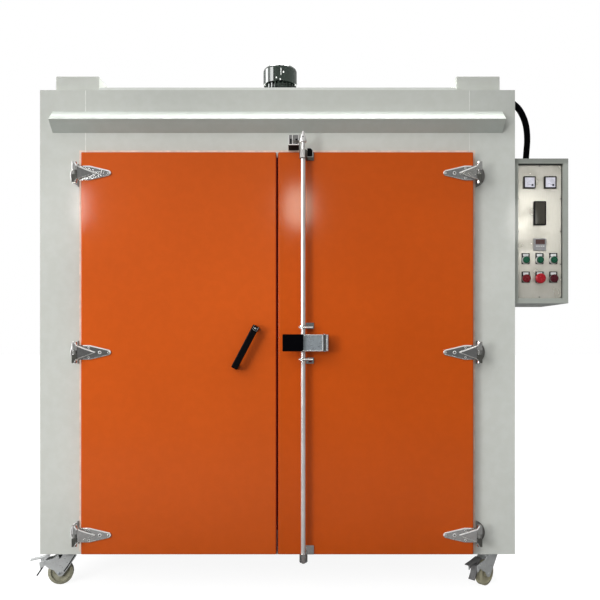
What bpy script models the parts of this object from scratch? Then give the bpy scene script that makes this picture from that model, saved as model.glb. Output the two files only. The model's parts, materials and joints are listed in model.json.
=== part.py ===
"""Walk-in curing oven on swivel casters, with twin doors, a rod lock and a side control box.

Run with: blender --background --python part.py
Metres, +Z up. The viewer of the doors stands at -Y and sees +X on the right.
Pieces are laid out from the cabinet: X = 0 on its centreline, Y = 0 on its front face and
Z = 0 on the ground. At the end the whole oven is stood on the middle of its own ground plan.
"""

import bpy
import bmesh
from math import atan2, cos, degrees, pi, radians, sin, sqrt
from mathutils import Matrix, Vector

# Clearances
SEAT = 0.0003
RUNNING = 0.0005
MERGE = 0.00005
STEP_IN = 0.0005

# Facets round the turned shapes
BOLT_SIDES = 6
PIN_SIDES = 12
BUTTON_SIDES = 16
ROD_SIDES = 20
WHEEL_SIDES = 24
MOTOR_SIDES = 32

# Cabinet
CABINET_WIDTH = 1.90
CABINET_DEPTH = 1.65
CABINET_HEIGHT = 1.857
WALL_THICKNESS = 0.182
REAR_THICKNESS = 0.170
ROOF_THICKNESS = 0.160
FLOOR_THICKNESS = 0.100
ROOF_PAN_HEIGHT = 0.010
ROOF_PAN_WIDTH = 1.43

# Door openings and leaves
DOOR_BOTTOM = 0.152
DOOR_TOP = 1.739
DOOR_SIDE_LAP = 0.006
DOOR_TOP_LAP = 0.012
DOOR_MEETING_GAP = 0.008
DOOR_STAND_OFF = 0.005
DOOR_SKIN_DEPTH = 0.035
DOOR_PLUG_DEPTH = 0.050
DOOR_PLUG_CLEARANCE = 0.008
DOOR_EDGE_RADIUS = 0.004

# Canopy over the doors
HOOD_LENGTH = 1.798
HOOD_ROOT_TOP = 1.912
HOOD_RIDGE = 1.867
HOOD_ROOT_BOTTOM = 1.826
HOOD_REACH = 0.050

# Duct boxes on the roof
ROOF_BOX_WIDTH = 0.176
ROOF_BOX_HEIGHT = 0.067
ROOF_BOX_SIDE_INSET = 0.052
ROOF_BOX_FRONT_INSET = 0.030
ROOF_BOX_REAR_INSET = 0.100

# Fan motor
MOTOR_X = -0.010
MOTOR_BACK = 0.70
MOTOR_FLANGE_RADIUS = 0.105
MOTOR_FLANGE_THICKNESS = 0.014
MOTOR_CORE_RADIUS = 0.064
MOTOR_FIN_RADIUS = 0.074
MOTOR_FIN_COUNT = 24
MOTOR_BODY_HEIGHT = 0.257
MOTOR_NECK_RADIUS = 0.050
MOTOR_NECK_HEIGHT = 0.030
COWL_RADIUS = 0.084
COWL_HEIGHT = 0.099
COWL_WALL = 0.003
COWL_OVERLAP = 0.034
COWL_DOME = 0.030
COWL_LUG_WIDTH = 0.016
COWL_LUG_HEIGHT = 0.012
COWL_LUG_RISE = 0.006

# Control box
CONTROL_WIDTH = 0.2217
CONTROL_DEPTH = 0.310
CONTROL_BOTTOM = 1.146
CONTROL_TOP = 1.730
CONTROL_SET_BACK = 0.022
CONTROL_RIM = 0.020
CONTROL_RECESS = 0.016
CONTROL_POCKET = 0.060
PANEL_THICKNESS = 0.003
PANEL_CLEARANCE = 0.0005

# Instruments on the control panel
INSTRUMENT_SIZE = 0.048
INSTRUMENT_TALL = 0.096
INSTRUMENT_DEPTH = 0.009
INSTRUMENT_FACE_INSET = 0.004
INSTRUMENT_FACE_RECESS = 0.002
COLUMN_PITCH = 0.056
METER_SPACING = 0.084
METERS_BELOW_TOP = 0.094
WINDOW_BELOW_TOP = 0.2185
CONTROLLER_BELOW_TOP = 0.345
START_ROW_BELOW_TOP = 0.408
STOP_ROW_BELOW_TOP = 0.483

# Push buttons
BUTTON_RADIUS = 0.0135
BUTTON_CAP = 0.008
BUTTON_STAND = 0.007
BUTTON_STEM_RADIUS = 0.008
BUTTON_STEM_LENGTH = 0.024
BUTTON_BEZEL_RADIUS = 0.0160
BUTTON_BEZEL_DEPTH = 0.0022
STOP_RADIUS = 0.0165
MUSHROOM_RADIUS = 0.0205
MUSHROOM_CAP = 0.012

# Conduit: its bends as a distance beyond the side wall and a share of its rise
CONDUIT_RADIUS = 0.013
CONDUIT_BACK = 0.170
CONDUIT_START = 0.098
CONDUIT_STRAIGHT = 0.012
CONDUIT_BENDS = (
    (0.102, 0.20), (0.106, 0.415), (0.099, 0.62), (0.078, 0.79), (0.051, 0.89), (0.010, 0.97)
)

# Hinges
HINGE_HEIGHTS = (0.230, 0.949, 1.655)
HINGE_PIN_OUT = 0.020
HINGE_PIN_STAND = 0.012
HINGE_PIN_RADIUS = 0.004
HINGE_KNUCKLE_RADIUS = 0.0085
HINGE_HALF_HEIGHT = 0.042
HINGE_MIDDLE = 0.016
HINGE_PLATE = 0.004
STRAP_LENGTH = 0.140
STRAP_SHOULDER = 0.056
STRAP_END = 0.016
STRAP_ROOT = 0.057
STRAP_TIP_RADIUS = 0.011
FAN_TIP = 0.080
FAN_NECK = (0.0105, 0.0265)
FAN_TOP = 0.0065
FAN_STEP = 0.0015
LEAF_REACH = 0.034
LEAF_HEIGHT = 0.092
LEAF_RISE = 0.012

# Left door pull
HANDLE_CENTRE = (-0.123, 0.970)
HANDLE_LENGTH = 0.187
HANDLE_TILT = 27.6
HANDLE_WIDTH = 0.026
HANDLE_STAND = 0.050
HANDLE_BAR = 0.014
HANDLE_LEG = 0.020
HANDLE_CORNER = 0.006

# Lock rod
ROD_FROM_CENTRE = 0.1025
ROD_STAND = 0.030
ROD_RADIUS = 0.009
ROD_BOTTOM = 0.128
ROD_NECK_TOP = 1.768
ROD_HEAD_RADIUS = 0.0135
ROD_TIP = 1.813
ROD_NECK_RADIUS = 0.007
ROD_NECK_BOTTOM = 1.742
TONGUE_REACH = 0.042
TONGUE_THICKNESS = 0.008
TONGUE_DEPTH = 0.010
TONGUE_CLEARANCE = 0.005

# Rod guides
GUIDE_RADIUS = 0.0145
GUIDE_FOOT_REACH = 0.042
GUIDE_FOOT_PLATE = 0.004
GUIDE_WEB = 0.006
GUIDE_HEIGHTS = {
    "bottom": {"ring": (0.133, 0.165), "foot": (0.154, 0.190)},
    "lower": {"ring": (0.917, 0.929), "foot": (0.905, 0.929)},
    "upper": {"ring": (1.042, 1.054), "foot": (1.042, 1.066)},
    "top": {"ring": (1.705, 1.737), "foot": (1.705, 1.737)},
}

# Keeper on the header
KEEPER_LEFT = 0.043
KEEPER_RIGHT = 0.087
KEEPER_BOTTOM = 1.757
KEEPER_TOP = 1.817
KEEPER_PLATE = 0.004
KEEPER_SLOT_WIDTH = 0.008
KEEPER_SLOT_HEIGHT = 0.026
KEEPER_SHELF_REACH = 0.072

# Lock lever
LEVER_PIVOT_X = 0.186
LEVER_PIVOT_STAND = 0.044
LEVER_HEIGHT = 0.987
LEVER_TALL = 0.064
LEVER_BAR = 0.006
LEVER_BAR_STAND = 0.056
LEVER_FOLD_WIDTH = 0.0195
LEVER_FOLD_DEPTH = 0.0045
LEVER_CHANNEL = 0.044
LEVER_END_REACH = 0.010
LEVER_GRIP_LEFT = 0.0226
LEVER_GRIP_THICKNESS = 0.022
LEVER_PIN_RADIUS = 0.004
BRACKET_TALL = 0.050
BRACKET_WIDTH = 0.013
BRACKET_BARREL_RADIUS = 0.008

# Casters
CASTER_HEIGHT = 0.141
CASTER_SIDE_INSET = 0.087
CASTER_FRONT_INSET = 0.075
CASTER_TRAIL = 0.028
CASTER_LEFT_ANGLE = -168.0
CASTER_RIGHT_ANGLE = -138.0
CASTER_REAR_ANGLE = 172.0
WHEEL_RADIUS = 0.050
WHEEL_WIDTH = 0.030
WHEEL_BORE_RADIUS = 0.0065
WHEEL_TREAD = 0.012
WHEEL_HUB_RADIUS = 0.016
WHEEL_DISH = 0.006
WHEEL_SHOULDER = 0.004
AXLE_RADIUS = 0.006
FORK_PLATE = 0.004
FORK_GAP = 0.0035
FORK_HEAD_RADIUS = 0.030
FORK_CROWN = 0.006
CASTER_HEAD_RADIUS = 0.032
CASTER_HEAD = 0.010
CASTER_PLATE = 0.104
CASTER_PLATE_THICKNESS = 0.004
CASTER_PIN_RADIUS = 0.006
CASTER_PIN_HEAD = 0.010
CHEEK_LEAD = 0.035
CHEEK_TIP_RADIUS = 0.014
CHEEK_ARM = (
    (0.053, 0.062), (0.070, 0.069), (0.077, 0.075), (0.088, 0.084),
    (0.106, 0.072), (0.109, 0.098), (0.082, 0.105), (0.055, 0.110), (0.040, 0.123)
)
PEDAL_PIVOT_OUT = 0.092
PEDAL_PIVOT_HEIGHT = 0.094
PEDAL_WIDTH = 0.028
PEDAL_BARREL_RADIUS = 0.006
PEDAL_PIN_RADIUS = 0.003
PEDAL_REACH = 0.1453
PEDAL_OUTLINE = (
    (0.070, 0.1216), (0.106, 0.1130), (PEDAL_REACH, 0.1060), (PEDAL_REACH, 0.1030),
    (0.106, 0.1095), (0.100, 0.1075), (0.099, 0.092), (0.106, 0.066), (0.1205, 0.042),
    (0.1175, 0.040), (0.1015, 0.063), (0.085, 0.088), (0.084, 0.1070), (0.070, 0.1181)
)

# Worked out from the sizes above
SIDE = CABINET_WIDTH / 2
OPENING_SIDE = SIDE - WALL_THICKNESS
CABINET_BOTTOM = CASTER_HEIGHT
CABINET_TOP = CABINET_BOTTOM + CABINET_HEIGHT
FLOOR_TOP = CABINET_BOTTOM + FLOOR_THICKNESS
HEADER_BOTTOM = DOOR_TOP - DOOR_TOP_LAP
DOOR_SIDE = OPENING_SIDE + DOOR_SIDE_LAP
DOOR_FACE = -(DOOR_STAND_OFF + DOOR_SKIN_DEPTH)
HINGE_X = DOOR_SIDE + HINGE_PIN_OUT
HINGE_Y = DOOR_FACE - HINGE_PIN_STAND
ROD_Y = DOOR_FACE - ROD_STAND
LEVER_PIVOT_Y = DOOR_FACE - LEVER_PIVOT_STAND
LEVER_BAR_BACK = DOOR_FACE - LEVER_BAR_STAND
CONTROL_LEFT = SIDE + SEAT
CONTROL_RIGHT = CONTROL_LEFT + CONTROL_WIDTH
CONTROL_MIDDLE = (CONTROL_LEFT + CONTROL_RIGHT) / 2
PANEL_FACE = CONTROL_SET_BACK + CONTROL_RECESS
START_ROW = CONTROL_TOP - START_ROW_BELOW_TOP
STOP_ROW = CONTROL_TOP - STOP_ROW_BELOW_TOP
ROOF_BOX_OUTER = SIDE - ROOF_BOX_SIDE_INSET
ROOF_BOX_INNER = ROOF_BOX_OUTER - ROOF_BOX_WIDTH
FRONT_REACH = LEVER_BAR_STAND + LEVER_GRIP_THICKNESS - DOOR_FACE
CASTER_SKEW = radians(180 + CASTER_LEFT_ANGLE)
PEDAL_OUT = PEDAL_REACH * cos(CASTER_SKEW) + PEDAL_WIDTH / 2 * sin(CASTER_SKEW)
LEFT_REACH = SIDE - CASTER_SIDE_INSET + PEDAL_OUT
PLAN_MIDDLE = Vector(((CONTROL_RIGHT - LEFT_REACH) / 2, (CABINET_DEPTH - FRONT_REACH) / 2, 0.0))

SIDES = (("left", -1), ("right", 1))


# Scene and materials

def clear_scene():
    for obj in list(bpy.data.objects):
        bpy.data.objects.remove(obj, do_unlink=True)


def collection(name):
    found = bpy.data.collections.get(name)
    if found is None:
        found = bpy.data.collections.new(name)
        bpy.context.scene.collection.children.link(found)
    return found


def material(name, colour, roughness, metallic=0.0):
    made = bpy.data.materials.get(name)
    if made is None:
        made = bpy.data.materials.new(name)
        made.use_nodes = True
        shader = made.node_tree.nodes["Principled BSDF"]
        shader.inputs["Base Color"].default_value = (*colour, 1.0)
        shader.inputs["Roughness"].default_value = roughness
        shader.inputs["Metallic"].default_value = metallic
    return made


def grey_paint():
    return material("grey_paint", (0.56, 0.57, 0.54), 0.35)


def orange_paint():
    return material("orange_paint", (0.60, 0.10, 0.012), 0.3)


def chrome():
    return material("chrome", (0.72, 0.72, 0.72), 0.15, 1.0)


def zinc():
    return material("zinc_steel", (0.52, 0.53, 0.54), 0.4, 1.0)


def motor_paint():
    return material("motor_paint", (0.055, 0.070, 0.062), 0.25)


def black_rubber():
    return material("black_rubber", (0.012, 0.012, 0.013), 0.6)


def black_plastic():
    return material("black_plastic", (0.018, 0.018, 0.02), 0.4)


# Mesh helpers

def mesh_object(name, bm, made_of=None, smooth_angle=None):
    """Turn a bmesh laid out in cabinet coordinates into an object."""
    bmesh.ops.recalc_face_normals(bm, faces=bm.faces)
    mesh = bpy.data.meshes.new(name)
    bm.to_mesh(mesh)
    bm.free()
    obj = bpy.data.objects.new(name, mesh)
    collection("curing_oven").objects.link(obj)
    if made_of is not None:
        mesh.materials.append(made_of)
    if smooth_angle is not None:
        mesh.shade_smooth()
        mesh.set_sharp_from_angle(angle=radians(smooth_angle))
    return obj


def box(name, low, high, made_of=None):
    """A block between two corners."""
    low = Vector(low)
    high = Vector(high)
    size = high - low
    bm = bmesh.new()
    place = Matrix.Translation((low + high) / 2) @ Matrix.Diagonal((*size, 1.0))
    bmesh.ops.create_cube(bm, size=1.0, matrix=place)
    return mesh_object(name, bm, made_of)


def turn_to(axis):
    """The rotation that takes +Z to the given direction."""
    return Vector((0, 0, 1)).rotation_difference(Vector(axis)).to_matrix().to_4x4()


def cylinder(name, start, axis, length, radius, made_of=None, top_radius=None, sides=WHEEL_SIDES):
    """A round bar, or a cone, from a start point along an axis."""
    axis = Vector(axis).normalized()
    middle = Vector(start) + axis * (length / 2)
    bm = bmesh.new()
    bmesh.ops.create_cone(
        bm,
        cap_ends=True,
        segments=sides,
        radius1=radius,
        radius2=radius if top_radius is None else top_radius,
        depth=length,
        matrix=Matrix.Translation(middle) @ turn_to(axis),
    )
    return mesh_object(name, bm, made_of, smooth_angle=35)


def turned(name, centre, profile, made_of=None, sides=MOTOR_SIDES):
    """A solid of revolution about +Z: (radius, height) pairs from the top down its outside."""
    mesh = bpy.data.meshes.new(name)
    points = [(radius, 0.0, height) for radius, height in profile]
    edges = [(i, i + 1) for i in range(len(points) - 1)]
    if profile[0][0] > 0 and profile[-1][0] > 0:
        edges.append((len(points) - 1, 0))
    mesh.from_pydata(points, edges, [])
    if made_of is not None:
        mesh.materials.append(made_of)
    obj = bpy.data.objects.new(name, mesh)
    collection("curing_oven").objects.link(obj)
    obj.location = centre
    screw = obj.modifiers.new("turn", "SCREW")
    screw.axis = "Z"
    screw.steps = sides
    screw.render_steps = sides
    screw.use_merge_vertices = True
    screw.merge_threshold = MERGE
    return obj


def plate(name, outline, thickness, made_of=None, place=None, holes=()):
    """A flat outline in its own XY plane, given thickness about z = 0, with open holes."""
    curve = bpy.data.curves.new(name, "CURVE")
    curve.dimensions = "2D"
    curve.fill_mode = "BOTH"
    curve.extrude = thickness / 2
    for ring in (outline, *holes):
        spline = curve.splines.new("POLY")
        spline.points.add(len(ring) - 1)
        for point, (x, y) in zip(spline.points, ring):
            point.co = (x, y, 0.0, 1.0)
        spline.use_cyclic_u = True
    obj = bpy.data.objects.new(name, curve)
    collection("curing_oven").objects.link(obj)
    if place is not None:
        obj.matrix_world = place
    return solid_of_curve(obj, made_of)


def tube(name, points, radius, made_of=None, bevel_resolution=3):
    """A round wire or hose through the given points, with filled ends."""
    curve = bpy.data.curves.new(name, "CURVE")
    curve.dimensions = "3D"
    curve.bevel_depth = radius
    curve.bevel_resolution = bevel_resolution
    curve.use_fill_caps = True
    spline = curve.splines.new("POLY")
    spline.points.add(len(points) - 1)
    for point, place in zip(spline.points, points):
        point.co = (*place, 1.0)
    obj = bpy.data.objects.new(name, curve)
    collection("curing_oven").objects.link(obj)
    return solid_of_curve(obj, made_of)


def solid_of_curve(obj, made_of):
    """Replace a curve object by a welded mesh of the same name and place."""
    name = obj.name
    bpy.context.view_layer.update()
    evaluated = obj.evaluated_get(bpy.context.evaluated_depsgraph_get())
    mesh = bpy.data.meshes.new_from_object(evaluated)
    bm = bmesh.new()
    bm.from_mesh(mesh)
    bmesh.ops.remove_doubles(bm, verts=bm.verts, dist=MERGE)
    bmesh.ops.recalc_face_normals(bm, faces=bm.faces)
    bm.to_mesh(mesh)
    bm.free()
    mesh.materials.clear()
    if made_of is not None:
        mesh.materials.append(made_of)
    mesh.shade_smooth()
    mesh.set_sharp_from_angle(angle=radians(35))
    matrix = obj.matrix_world.copy()
    bpy.data.objects.remove(obj, do_unlink=True)
    solid = bpy.data.objects.new(name, mesh)
    solid.matrix_world = matrix
    collection("curing_oven").objects.link(solid)
    return solid


def set_aside(tool):
    """Hide a cutter or a joined shape and move it to the cutters' collection."""
    for owner in list(tool.users_collection):
        owner.objects.unlink(tool)
    collection("cutters").objects.link(tool)
    tool.hide_render = True
    tool.display_type = "WIRE"


def combine(target, tool, operation):
    step = target.modifiers.new(operation.lower(), "BOOLEAN")
    step.operation = operation
    step.solver = "EXACT"
    step.object = tool
    set_aside(tool)


def cut(target, *tools):
    for tool in tools:
        combine(target, tool, "DIFFERENCE")


def fuse(target, *tools):
    for tool in tools:
        combine(target, tool, "UNION")


def round_edges(obj, width, segments=2, angle=40):
    bevel = obj.modifiers.new("rounded_edges", "BEVEL")
    bevel.width = width
    bevel.segments = segments
    bevel.limit_method = "ANGLE"
    bevel.angle_limit = radians(angle)


def hang(obj, pivot, parent=None):
    """Give an object its origin at a pivot, without moving its shape, and parent it."""
    pivot = Vector(pivot)
    bpy.context.view_layer.update()
    shift = Matrix.Translation(-pivot) @ obj.matrix_world
    obj.data.transform(shift)
    obj.matrix_world = Matrix.Identity(4)
    start = Vector((0, 0, 0)) if parent is None else parent_place(parent)
    obj.parent = parent
    obj.location = pivot - start
    return obj


def parent_place(obj):
    place = Vector((0, 0, 0))
    while obj is not None:
        place += obj.location
        obj = obj.parent
    return place


def pivot_empty(name, place, parent=None):
    """An empty on a joint's axis, which carries the pieces that turn about it."""
    empty = bpy.data.objects.new(name, None)
    empty.empty_display_size = 0.05
    collection("curing_oven").objects.link(empty)
    start = Vector((0, 0, 0)) if parent is None else parent_place(parent)
    empty.parent = parent
    empty.location = Vector(place) - start
    return empty


def arc(centre, radius, start, end, steps):
    """Points of an arc in a plane, angles in degrees."""
    points = []
    for i in range(steps + 1):
        turn = radians(start + (end - start) * i / steps)
        points.append((centre[0] + radius * cos(turn), centre[1] + radius * sin(turn)))
    return points


def smooth_path(route, pieces):
    """Points on a smooth curve through every point of a route."""
    route = [Vector(point) for point in route]
    ends = [2 * route[0] - route[1], *route, 2 * route[-1] - route[-2]]
    points = []
    for a, b, c, d in zip(ends, ends[1:], ends[2:], ends[3:]):
        for i in range(pieces):
            t = i / pieces
            points.append(
                0.5 * (2 * b + (c - a) * t + (2 * a - 5 * b + 4 * c - d) * t ** 2
                       + (3 * b - a - 3 * c + d) * t ** 3)
            )
    points.append(route[-1])
    return points


# Cabinet

def make_walls():
    walls = {}
    for side, sign in SIDES:
        outer = sign * SIDE
        inner = sign * OPENING_SIDE
        walls[side] = box(
            side + "_wall",
            (min(outer, inner), 0, CABINET_BOTTOM),
            (max(outer, inner), CABINET_DEPTH, CABINET_TOP),
            grey_paint(),
        )
    box(
        "rear_wall",
        (-OPENING_SIDE + SEAT, CABINET_DEPTH - REAR_THICKNESS, CABINET_BOTTOM),
        (OPENING_SIDE - SEAT, CABINET_DEPTH, CABINET_TOP),
        grey_paint(),
    )
    return walls


def make_header():
    box(
        "front_header",
        (-OPENING_SIDE + SEAT, 0, HEADER_BOTTOM),
        (OPENING_SIDE - SEAT, WALL_THICKNESS, CABINET_TOP),
        grey_paint(),
    )


def make_roof():
    """The roof slab between the walls, with a pan that laps over the header and rear wall."""
    roof = box(
        "roof_panel",
        (-OPENING_SIDE + SEAT, WALL_THICKNESS + SEAT, CABINET_TOP - ROOF_THICKNESS),
        (OPENING_SIDE - SEAT, CABINET_DEPTH - REAR_THICKNESS - SEAT, CABINET_TOP),
        grey_paint(),
    )
    pan = box(
        "roof_pan",
        (-ROOF_PAN_WIDTH / 2, SEAT, CABINET_TOP + SEAT),
        (ROOF_PAN_WIDTH / 2, CABINET_DEPTH - SEAT, CABINET_TOP + ROOF_PAN_HEIGHT),
    )
    core = box(
        "roof_core",
        (
            -ROOF_PAN_WIDTH / 2 + ROOF_PAN_HEIGHT,
            WALL_THICKNESS + ROOF_PAN_HEIGHT,
            CABINET_TOP - ROOF_PAN_HEIGHT,
        ),
        (
            ROOF_PAN_WIDTH / 2 - ROOF_PAN_HEIGHT,
            CABINET_DEPTH - REAR_THICKNESS - ROOF_PAN_HEIGHT,
            CABINET_TOP + ROOF_PAN_HEIGHT / 2,
        ),
    )
    fuse(roof, core, pan)


def caster_places():
    """Each swivel axis, with the direction in degrees that its wheel trails in."""
    x = SIDE - CASTER_SIDE_INSET
    front = CASTER_FRONT_INSET
    rear = CABINET_DEPTH - CASTER_FRONT_INSET
    return (
        ("front_left", -x, front, CASTER_LEFT_ANGLE),
        ("front_right", x, front, CASTER_RIGHT_ANGLE),
        ("rear_left", -x, rear, CASTER_REAR_ANGLE),
        ("rear_right", x, rear, CASTER_REAR_ANGLE),
    )


def make_floor():
    """The floor slab between the walls."""
    box(
        "floor_panel",
        (-OPENING_SIDE + SEAT, 0, CABINET_BOTTOM),
        (OPENING_SIDE - SEAT, CABINET_DEPTH - REAR_THICKNESS - SEAT, FLOOR_TOP),
        grey_paint(),
    )


# Canopy and roof boxes

def make_hood():
    """A folded canopy with a sharp ridge, closed at both ends."""
    section = [
        (-SEAT, HOOD_ROOT_TOP),
        (-HOOD_REACH, HOOD_RIDGE),
        (-SEAT, HOOD_ROOT_BOTTOM),
    ]
    along_x = Matrix(((0, 0, 1, 0), (1, 0, 0, 0), (0, 1, 0, 0), (0, 0, 0, 1)))
    plate("door_hood", section, HOOD_LENGTH, grey_paint(), along_x)


def make_roof_boxes():
    for side, sign in SIDES:
        outer = sign * ROOF_BOX_OUTER
        inner = sign * ROOF_BOX_INNER
        duct = box(
            side + "_roof_box",
            (min(outer, inner), ROOF_BOX_FRONT_INSET, CABINET_TOP + SEAT),
            (
                max(outer, inner),
                CABINET_DEPTH - ROOF_BOX_REAR_INSET,
                CABINET_TOP + ROOF_BOX_HEIGHT,
            ),
            grey_paint(),
        )
        round_edges(duct, 0.003)


# Fan motor

def make_motor():
    base = CABINET_TOP + ROOF_PAN_HEIGHT + SEAT
    body_base = base + MOTOR_FLANGE_THICKNESS + MOTOR_NECK_HEIGHT
    body_top = body_base + MOTOR_BODY_HEIGHT
    fins = []
    step = 360 / MOTOR_FIN_COUNT
    for i in range(MOTOR_FIN_COUNT):
        start = i * step
        for radius, share in ((MOTOR_CORE_RADIUS, 0.0), (MOTOR_CORE_RADIUS, 0.60),
                              (MOTOR_FIN_RADIUS, 0.64), (MOTOR_FIN_RADIUS, 0.96)):
            turn = radians(start + share * step)
            fins.append((radius * cos(turn), radius * sin(turn)))
    middle = (MOTOR_X, MOTOR_BACK, (body_base + body_top) / 2)
    body = plate(
        "motor_body", fins, MOTOR_BODY_HEIGHT, motor_paint(), Matrix.Translation(middle)
    )
    neck_top = body_base + 0.004
    foot = turned(
        "motor_foot",
        (MOTOR_X, MOTOR_BACK, 0.0),
        (
            (0.0, neck_top),
            (MOTOR_NECK_RADIUS, neck_top),
            (MOTOR_NECK_RADIUS, base + MOTOR_FLANGE_THICKNESS),
            (MOTOR_FLANGE_RADIUS, base + MOTOR_FLANGE_THICKNESS),
            (MOTOR_FLANGE_RADIUS, base),
            (0.0, base),
        ),
    )
    fuse(body, foot)
    lug_height = body_top - COWL_OVERLAP + COWL_LUG_RISE
    flat_radius = (COWL_RADIUS - COWL_WALL) * cos(pi / MOTOR_SIDES) - SEAT
    reach = sqrt(flat_radius ** 2 - (COWL_LUG_WIDTH / 2) ** 2)
    for name, half in (
        ("lugs_across", Vector((reach, COWL_LUG_WIDTH / 2, COWL_LUG_HEIGHT / 2))),
        ("lugs_along", Vector((COWL_LUG_WIDTH / 2, reach, COWL_LUG_HEIGHT / 2))),
    ):
        centre = Vector((MOTOR_X, MOTOR_BACK, lug_height + COWL_LUG_HEIGHT / 2))
        fuse(body, box(name, centre - half, centre + half))
    make_cowl(body_top - COWL_OVERLAP)


def make_cowl(rim):
    """A domed fan cowl, open below, around the motor's upper end."""
    top = rim + COWL_HEIGHT
    shoulder = top - COWL_DOME
    outer = [(COWL_RADIUS * cos(radians(a)), shoulder + COWL_DOME * sin(radians(a)))
             for a in range(90, -1, -15)]
    outer[0] = (0.0, top)
    inner_radius = COWL_RADIUS - COWL_WALL
    inner_dome = COWL_DOME - COWL_WALL
    inner = [(inner_radius * cos(radians(a)), shoulder + inner_dome * sin(radians(a)))
             for a in range(0, 91, 15)]
    inner[-1] = (0.0, shoulder + inner_dome)
    profile = [*outer, (COWL_RADIUS, rim), (inner_radius, rim), *inner]
    turned("motor_cowl", (MOTOR_X, MOTOR_BACK, 0.0), profile, motor_paint())


# Control box

def make_control_box():
    cabinet = box(
        "control_cabinet",
        (CONTROL_LEFT, CONTROL_SET_BACK, CONTROL_BOTTOM),
        (CONTROL_RIGHT, CONTROL_SET_BACK + CONTROL_DEPTH, CONTROL_TOP),
        grey_paint(),
    )
    cut(
        cabinet,
        box(
            "control_pocket",
            (CONTROL_LEFT + CONTROL_RIM, CONTROL_SET_BACK - 0.01, CONTROL_BOTTOM + CONTROL_RIM),
            (
                CONTROL_RIGHT - CONTROL_RIM,
                PANEL_FACE + PANEL_THICKNESS + CONTROL_POCKET,
                CONTROL_TOP - CONTROL_RIM,
            ),
        ),
    )
    panel = box(
        "control_panel",
        (
            CONTROL_LEFT + CONTROL_RIM + PANEL_CLEARANCE,
            PANEL_FACE,
            CONTROL_BOTTOM + CONTROL_RIM + PANEL_CLEARANCE,
        ),
        (
            CONTROL_RIGHT - CONTROL_RIM - PANEL_CLEARANCE,
            PANEL_FACE + PANEL_THICKNESS,
            CONTROL_TOP - CONTROL_RIM - PANEL_CLEARANCE,
        ),
        material("brushed_panel", (0.55, 0.52, 0.45), 0.4, 1.0),
    )
    for row, height in (("start", START_ROW), ("stop", STOP_ROW)):
        for column in (-1, 0, 1):
            x = CONTROL_MIDDLE + column * COLUMN_PITCH
            name = f"{row}_bezel_{column + 2}"
            front = PANEL_FACE - BUTTON_BEZEL_DEPTH
            fuse(
                panel,
                cylinder(
                    name,
                    (x, front, height),
                    (0, 1, 0),
                    BUTTON_BEZEL_DEPTH + PANEL_THICKNESS / 2,
                    BUTTON_BEZEL_RADIUS,
                    sides=BUTTON_SIDES,
                ),
            )
            cut(
                panel,
                cylinder(
                    name + "_hole",
                    (x, front - 0.01, height),
                    (0, 1, 0),
                    0.03,
                    BUTTON_STEM_RADIUS + RUNNING,
                    sides=PIN_SIDES,
                ),
            )
    return panel


def make_instrument(name, x, height, tall, colour):
    """A square-cornered instrument in its frame, with a recessed face."""
    half = INSTRUMENT_SIZE / 2
    body = box(
        name,
        (x - half, PANEL_FACE - SEAT - INSTRUMENT_DEPTH, height - tall / 2),
        (x + half, PANEL_FACE - SEAT, height + tall / 2),
        material(name + "_case", colour, 0.4),
    )
    inset = INSTRUMENT_FACE_INSET
    cut(
        body,
        box(
            name + "_face",
            (x - half + inset, PANEL_FACE - INSTRUMENT_DEPTH - 0.01, height - tall / 2 + inset),
            (
                x + half - inset,
                PANEL_FACE - SEAT - INSTRUMENT_DEPTH + INSTRUMENT_FACE_RECESS,
                height + tall / 2 - inset,
            ),
        ),
    )


def make_instruments():
    dark = (0.03, 0.03, 0.035)
    for side, sign in SIDES:
        make_instrument(
            side + "_meter",
            CONTROL_MIDDLE + sign * METER_SPACING / 2,
            CONTROL_TOP - METERS_BELOW_TOP,
            INSTRUMENT_SIZE,
            dark,
        )
    make_instrument(
        "window_instrument",
        CONTROL_MIDDLE,
        CONTROL_TOP - WINDOW_BELOW_TOP,
        INSTRUMENT_TALL,
        dark,
    )
    make_instrument(
        "temperature_controller",
        CONTROL_MIDDLE,
        CONTROL_TOP - CONTROLLER_BELOW_TOP,
        INSTRUMENT_SIZE,
        (0.16, 0.16, 0.17),
    )


def make_button(name, x, height, colour, radius, cap):
    """A round cap on a stem that slides in the panel; its origin is on the slide's axis."""
    back = PANEL_FACE - BUTTON_BEZEL_DEPTH - BUTTON_STAND
    profile = (
        (0.0, back - cap),
        (radius * 0.75, back - cap),
        (radius, back - cap * 0.7),
        (radius, back),
        (BUTTON_STEM_RADIUS, back),
        (BUTTON_STEM_RADIUS, back + BUTTON_STEM_LENGTH),
        (0.0, back + BUTTON_STEM_LENGTH),
    )
    face_to_back = [(r, -(y - back)) for r, y in profile]
    button = turned(name, (0, 0, 0), face_to_back, material(name, colour, 0.3), sides=BUTTON_SIDES)
    button.rotation_euler = (radians(90), 0, 0)
    button.location = (x, back, height)


def make_buttons():
    green = (0.02, 0.33, 0.10)
    red = (0.42, 0.02, 0.03)
    for column in (-1, 0, 1):
        x = CONTROL_MIDDLE + column * COLUMN_PITCH
        number = column + 2
        make_button(f"start_button_{number}", x, START_ROW, green, BUTTON_RADIUS, BUTTON_CAP)
        if column:
            make_button(f"stop_button_{number}", x, STOP_ROW, red, STOP_RADIUS, BUTTON_CAP)
    make_button(
        "emergency_stop",
        CONTROL_MIDDLE,
        STOP_ROW,
        (0.60, 0.02, 0.02),
        MUSHROOM_RADIUS,
        MUSHROOM_CAP,
    )


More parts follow.
